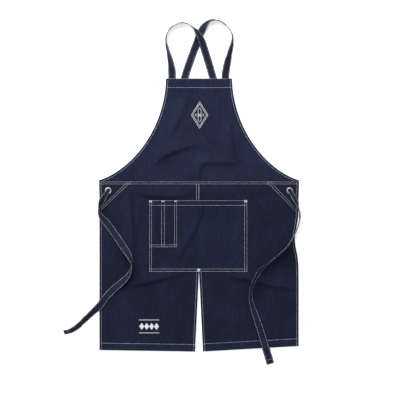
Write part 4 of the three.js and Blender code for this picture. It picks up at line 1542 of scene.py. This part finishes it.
class APRON_OT_prints(Builder):
    """Two small printed ornaments: a diamond on the bib and a band low on the skirt."""

    bl_idname = "apron.prints"
    bl_label = "Prints"

    def stripe(self, x, y, width):
        """One line of ink: its points and the directions of its section."""
        points = on_cloth(x, y, rise=0.10 * MM, step=1.6 * MM)
        along = np.gradient(points, axis=0)
        along /= np.linalg.norm(along, axis=1)[:, None]
        across = np.cross(along, (0, 0, 1))
        across /= np.linalg.norm(across, axis=1)[:, None]
        corners = np.array([[-1, -1], [1, -1], [1, 1], [-1, 1]]) * (width / 2, 0.04 * MM)
        section = np.broadcast_to(corners, (len(points), 4, 2))
        return points, across, np.cross(across, along), section

    def print_lines(self, name, lines, body):
        """One flat piece from many lines of ink."""
        ink = printed_ink("Print Ink", bpy.context.scene.apron_thread.ink)
        parts = [sweep(f"{name}_{i}", *self.stripe(x, y, width), [ink])
                 for i, (x, y, width) in enumerate(lines)]
        points, faces, count = [], [], 0
        for part in parts:
            points += [tuple(v.co) for v in part.data.vertices]
            faces += [[count + i for i in f.vertices] for f in part.data.polygons]
            count += len(part.data.vertices)
            bpy.data.objects.remove(part)
        piece = new_piece(name, points, faces, [ink])
        piece.data.polygons.foreach_set("use_smooth", np.zeros(len(faces), bool))
        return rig.ride(piece, body)

    def build(self, scene):
        middle = np.array([2.0, 216.0])
        thin = 1.1 * MM
        lines = []
        for half_x, half_y in ((27, 43), (22.5, 36)):
            corner = [(0, half_y), (half_x, 0), (0, -half_y), (-half_x, 0), (0, half_y)]
            lines.append((mm(*(middle[0] + x for x, _ in corner)),
                          mm(*(middle[1] + y for _, y in corner)), thin))
        turn = np.linspace(0, 2 * math.pi, 25)
        for angle, far in ((0, 8), (90, 12), (180, 8), (270, 12)):
            a = math.radians(angle)
            petal_x, petal_y = far + (far - 1.5) * np.cos(turn), 0.42 * far * np.sin(turn)
            x = middle[0] + petal_x * math.cos(a) - petal_y * math.sin(a)
            y = middle[1] + petal_x * math.sin(a) + petal_y * math.cos(a)
            lines.append((mm(*x), mm(*y), thin))
        self.print_lines("bib_print", lines, "bib")
        left, right, low, high = -195, -129, -492, -450
        lines = [(mm(left, right), mm(y, y), 1.6 * MM) for y in (low, high)]
        for x in np.linspace(left + 9, right - 9, 4):
            for rise in np.arange(-10.5, 11, 1.5):
                reach, y = 7.6 * (1.06 - abs(rise) / 10.5), (low + high) / 2 + rise
                lines.append((mm(x - reach, x + reach), mm(y, y), 1.6 * MM))
        self.print_lines("skirt_print", lines, "skirt")


# ---- Stage ----
VIEW_CENTRE = (3.3 * MM, 48.7 * MM)
FLOOR_REACH, FLOOR_LEVEL = 40.0, -0.3 * MM
SOFTBOX_SIZE, SOFTBOX_PLACE = 4.4, (-1.25, 2.55, 2.0)


class APRON_OT_stage(Builder):
    """The floor, the soft light and the camera above."""

    bl_idname = "apron.stage"
    bl_label = "Stage"

    def build(self, scene):
        settings = scene.apron_stage
        camera = bpy.data.cameras.new("Camera")
        camera.lens, camera.sensor_width = settings.lens, 36.0
        camera.clip_end = 100.0
        above = settings.span / 2 * settings.lens / (camera.sensor_width / 2)
        scene.camera = bpy.data.objects.new("Camera", camera)
        scene.collection.objects.link(scene.camera)
        scene.camera.location = (*VIEW_CENTRE, above + CAD_FRONT)
        corners = [(x * FLOOR_REACH, y * FLOOR_REACH, FLOOR_LEVEL)
                   for x, y in ((-1, -1), (1, -1), (1, 1), (-1, 1))]
        floor = new_piece("floor", corners, [(0, 1, 2, 3)],
                          [plain_floor("Pale Floor", settings.floor)])
        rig.stage(floor)
        light = bpy.data.lights.new("Softbox", "AREA")
        light.shape, light.size = "SQUARE", SOFTBOX_SIZE
        light.energy = settings.key
        softbox = bpy.data.objects.new("Softbox", light)
        scene.collection.objects.link(softbox)
        softbox.location = SOFTBOX_PLACE
        softbox.rotation_mode = "QUATERNION"
        softbox.rotation_quaternion = softbox.location.to_track_quat("Z", "Y")
        scene.world = bpy.data.worlds.new("Studio")
        scene.world.use_nodes = True
        sky = scene.world.node_tree.nodes["Background"]
        sky.inputs[0].default_value = (1.0, 1.0, 1.0, 1.0)
        sky.inputs[1].default_value = settings.sky
        scene.view_settings.view_transform = "Standard"


class APRON_PT_panel(bpy.types.Panel):
    """The apron's settings and the operators that build it, in order."""

    bl_label = "Denim Bib Apron"
    bl_idname = "APRON_PT_panel"
    bl_space_type = "VIEW_3D"
    bl_region_type = "UI"
    bl_category = "Apron"

    def draw(self, context):
        for operator in OPERATORS:
            self.layout.operator(operator.bl_idname)
        for name, group in SETTINGS.items():
            box = self.layout.box()
            for key in group.__annotations__:
                box.prop(getattr(context.scene, name), key)


OPERATORS = (
    APRON_OT_stage, APRON_OT_straps, APRON_OT_bib, APRON_OT_skirt, APRON_OT_pockets,
    APRON_OT_eyelets, APRON_OT_stitching, APRON_OT_tacks, APRON_OT_prints,
)
SETTINGS = {
    "apron_cloth": ApronCloth,
    "apron_straps": ApronStraps,
    "apron_thread": ApronThread,
    "apron_eyelets": ApronEyelets,
    "apron_stage": ApronStage,
}
CLASSES = (*SETTINGS.values(), *OPERATORS, APRON_PT_panel)


def register():
    for kind in CLASSES:
        bpy.utils.register_class(kind)
    for name, group in SETTINGS.items():
        setattr(bpy.types.Scene, name, bpy.props.PointerProperty(type=group))


def unregister():
    for name in SETTINGS:
        delattr(bpy.types.Scene, name)
    for kind in reversed(CLASSES):
        bpy.utils.unregister_class(kind)


def main():
    register()
    for operator in OPERATORS:
        group, name = operator.bl_idname.split(".")
        getattr(getattr(bpy.ops, group), name)()
    now = [[float(v) for v in corner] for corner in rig.bounds()]
    with open(SIZE_FILE, "w") as file:
        json.dump({"cad": CAD_BOX, "visual": now}, file, indent=1)


if __name__ == "__main__":
    main()
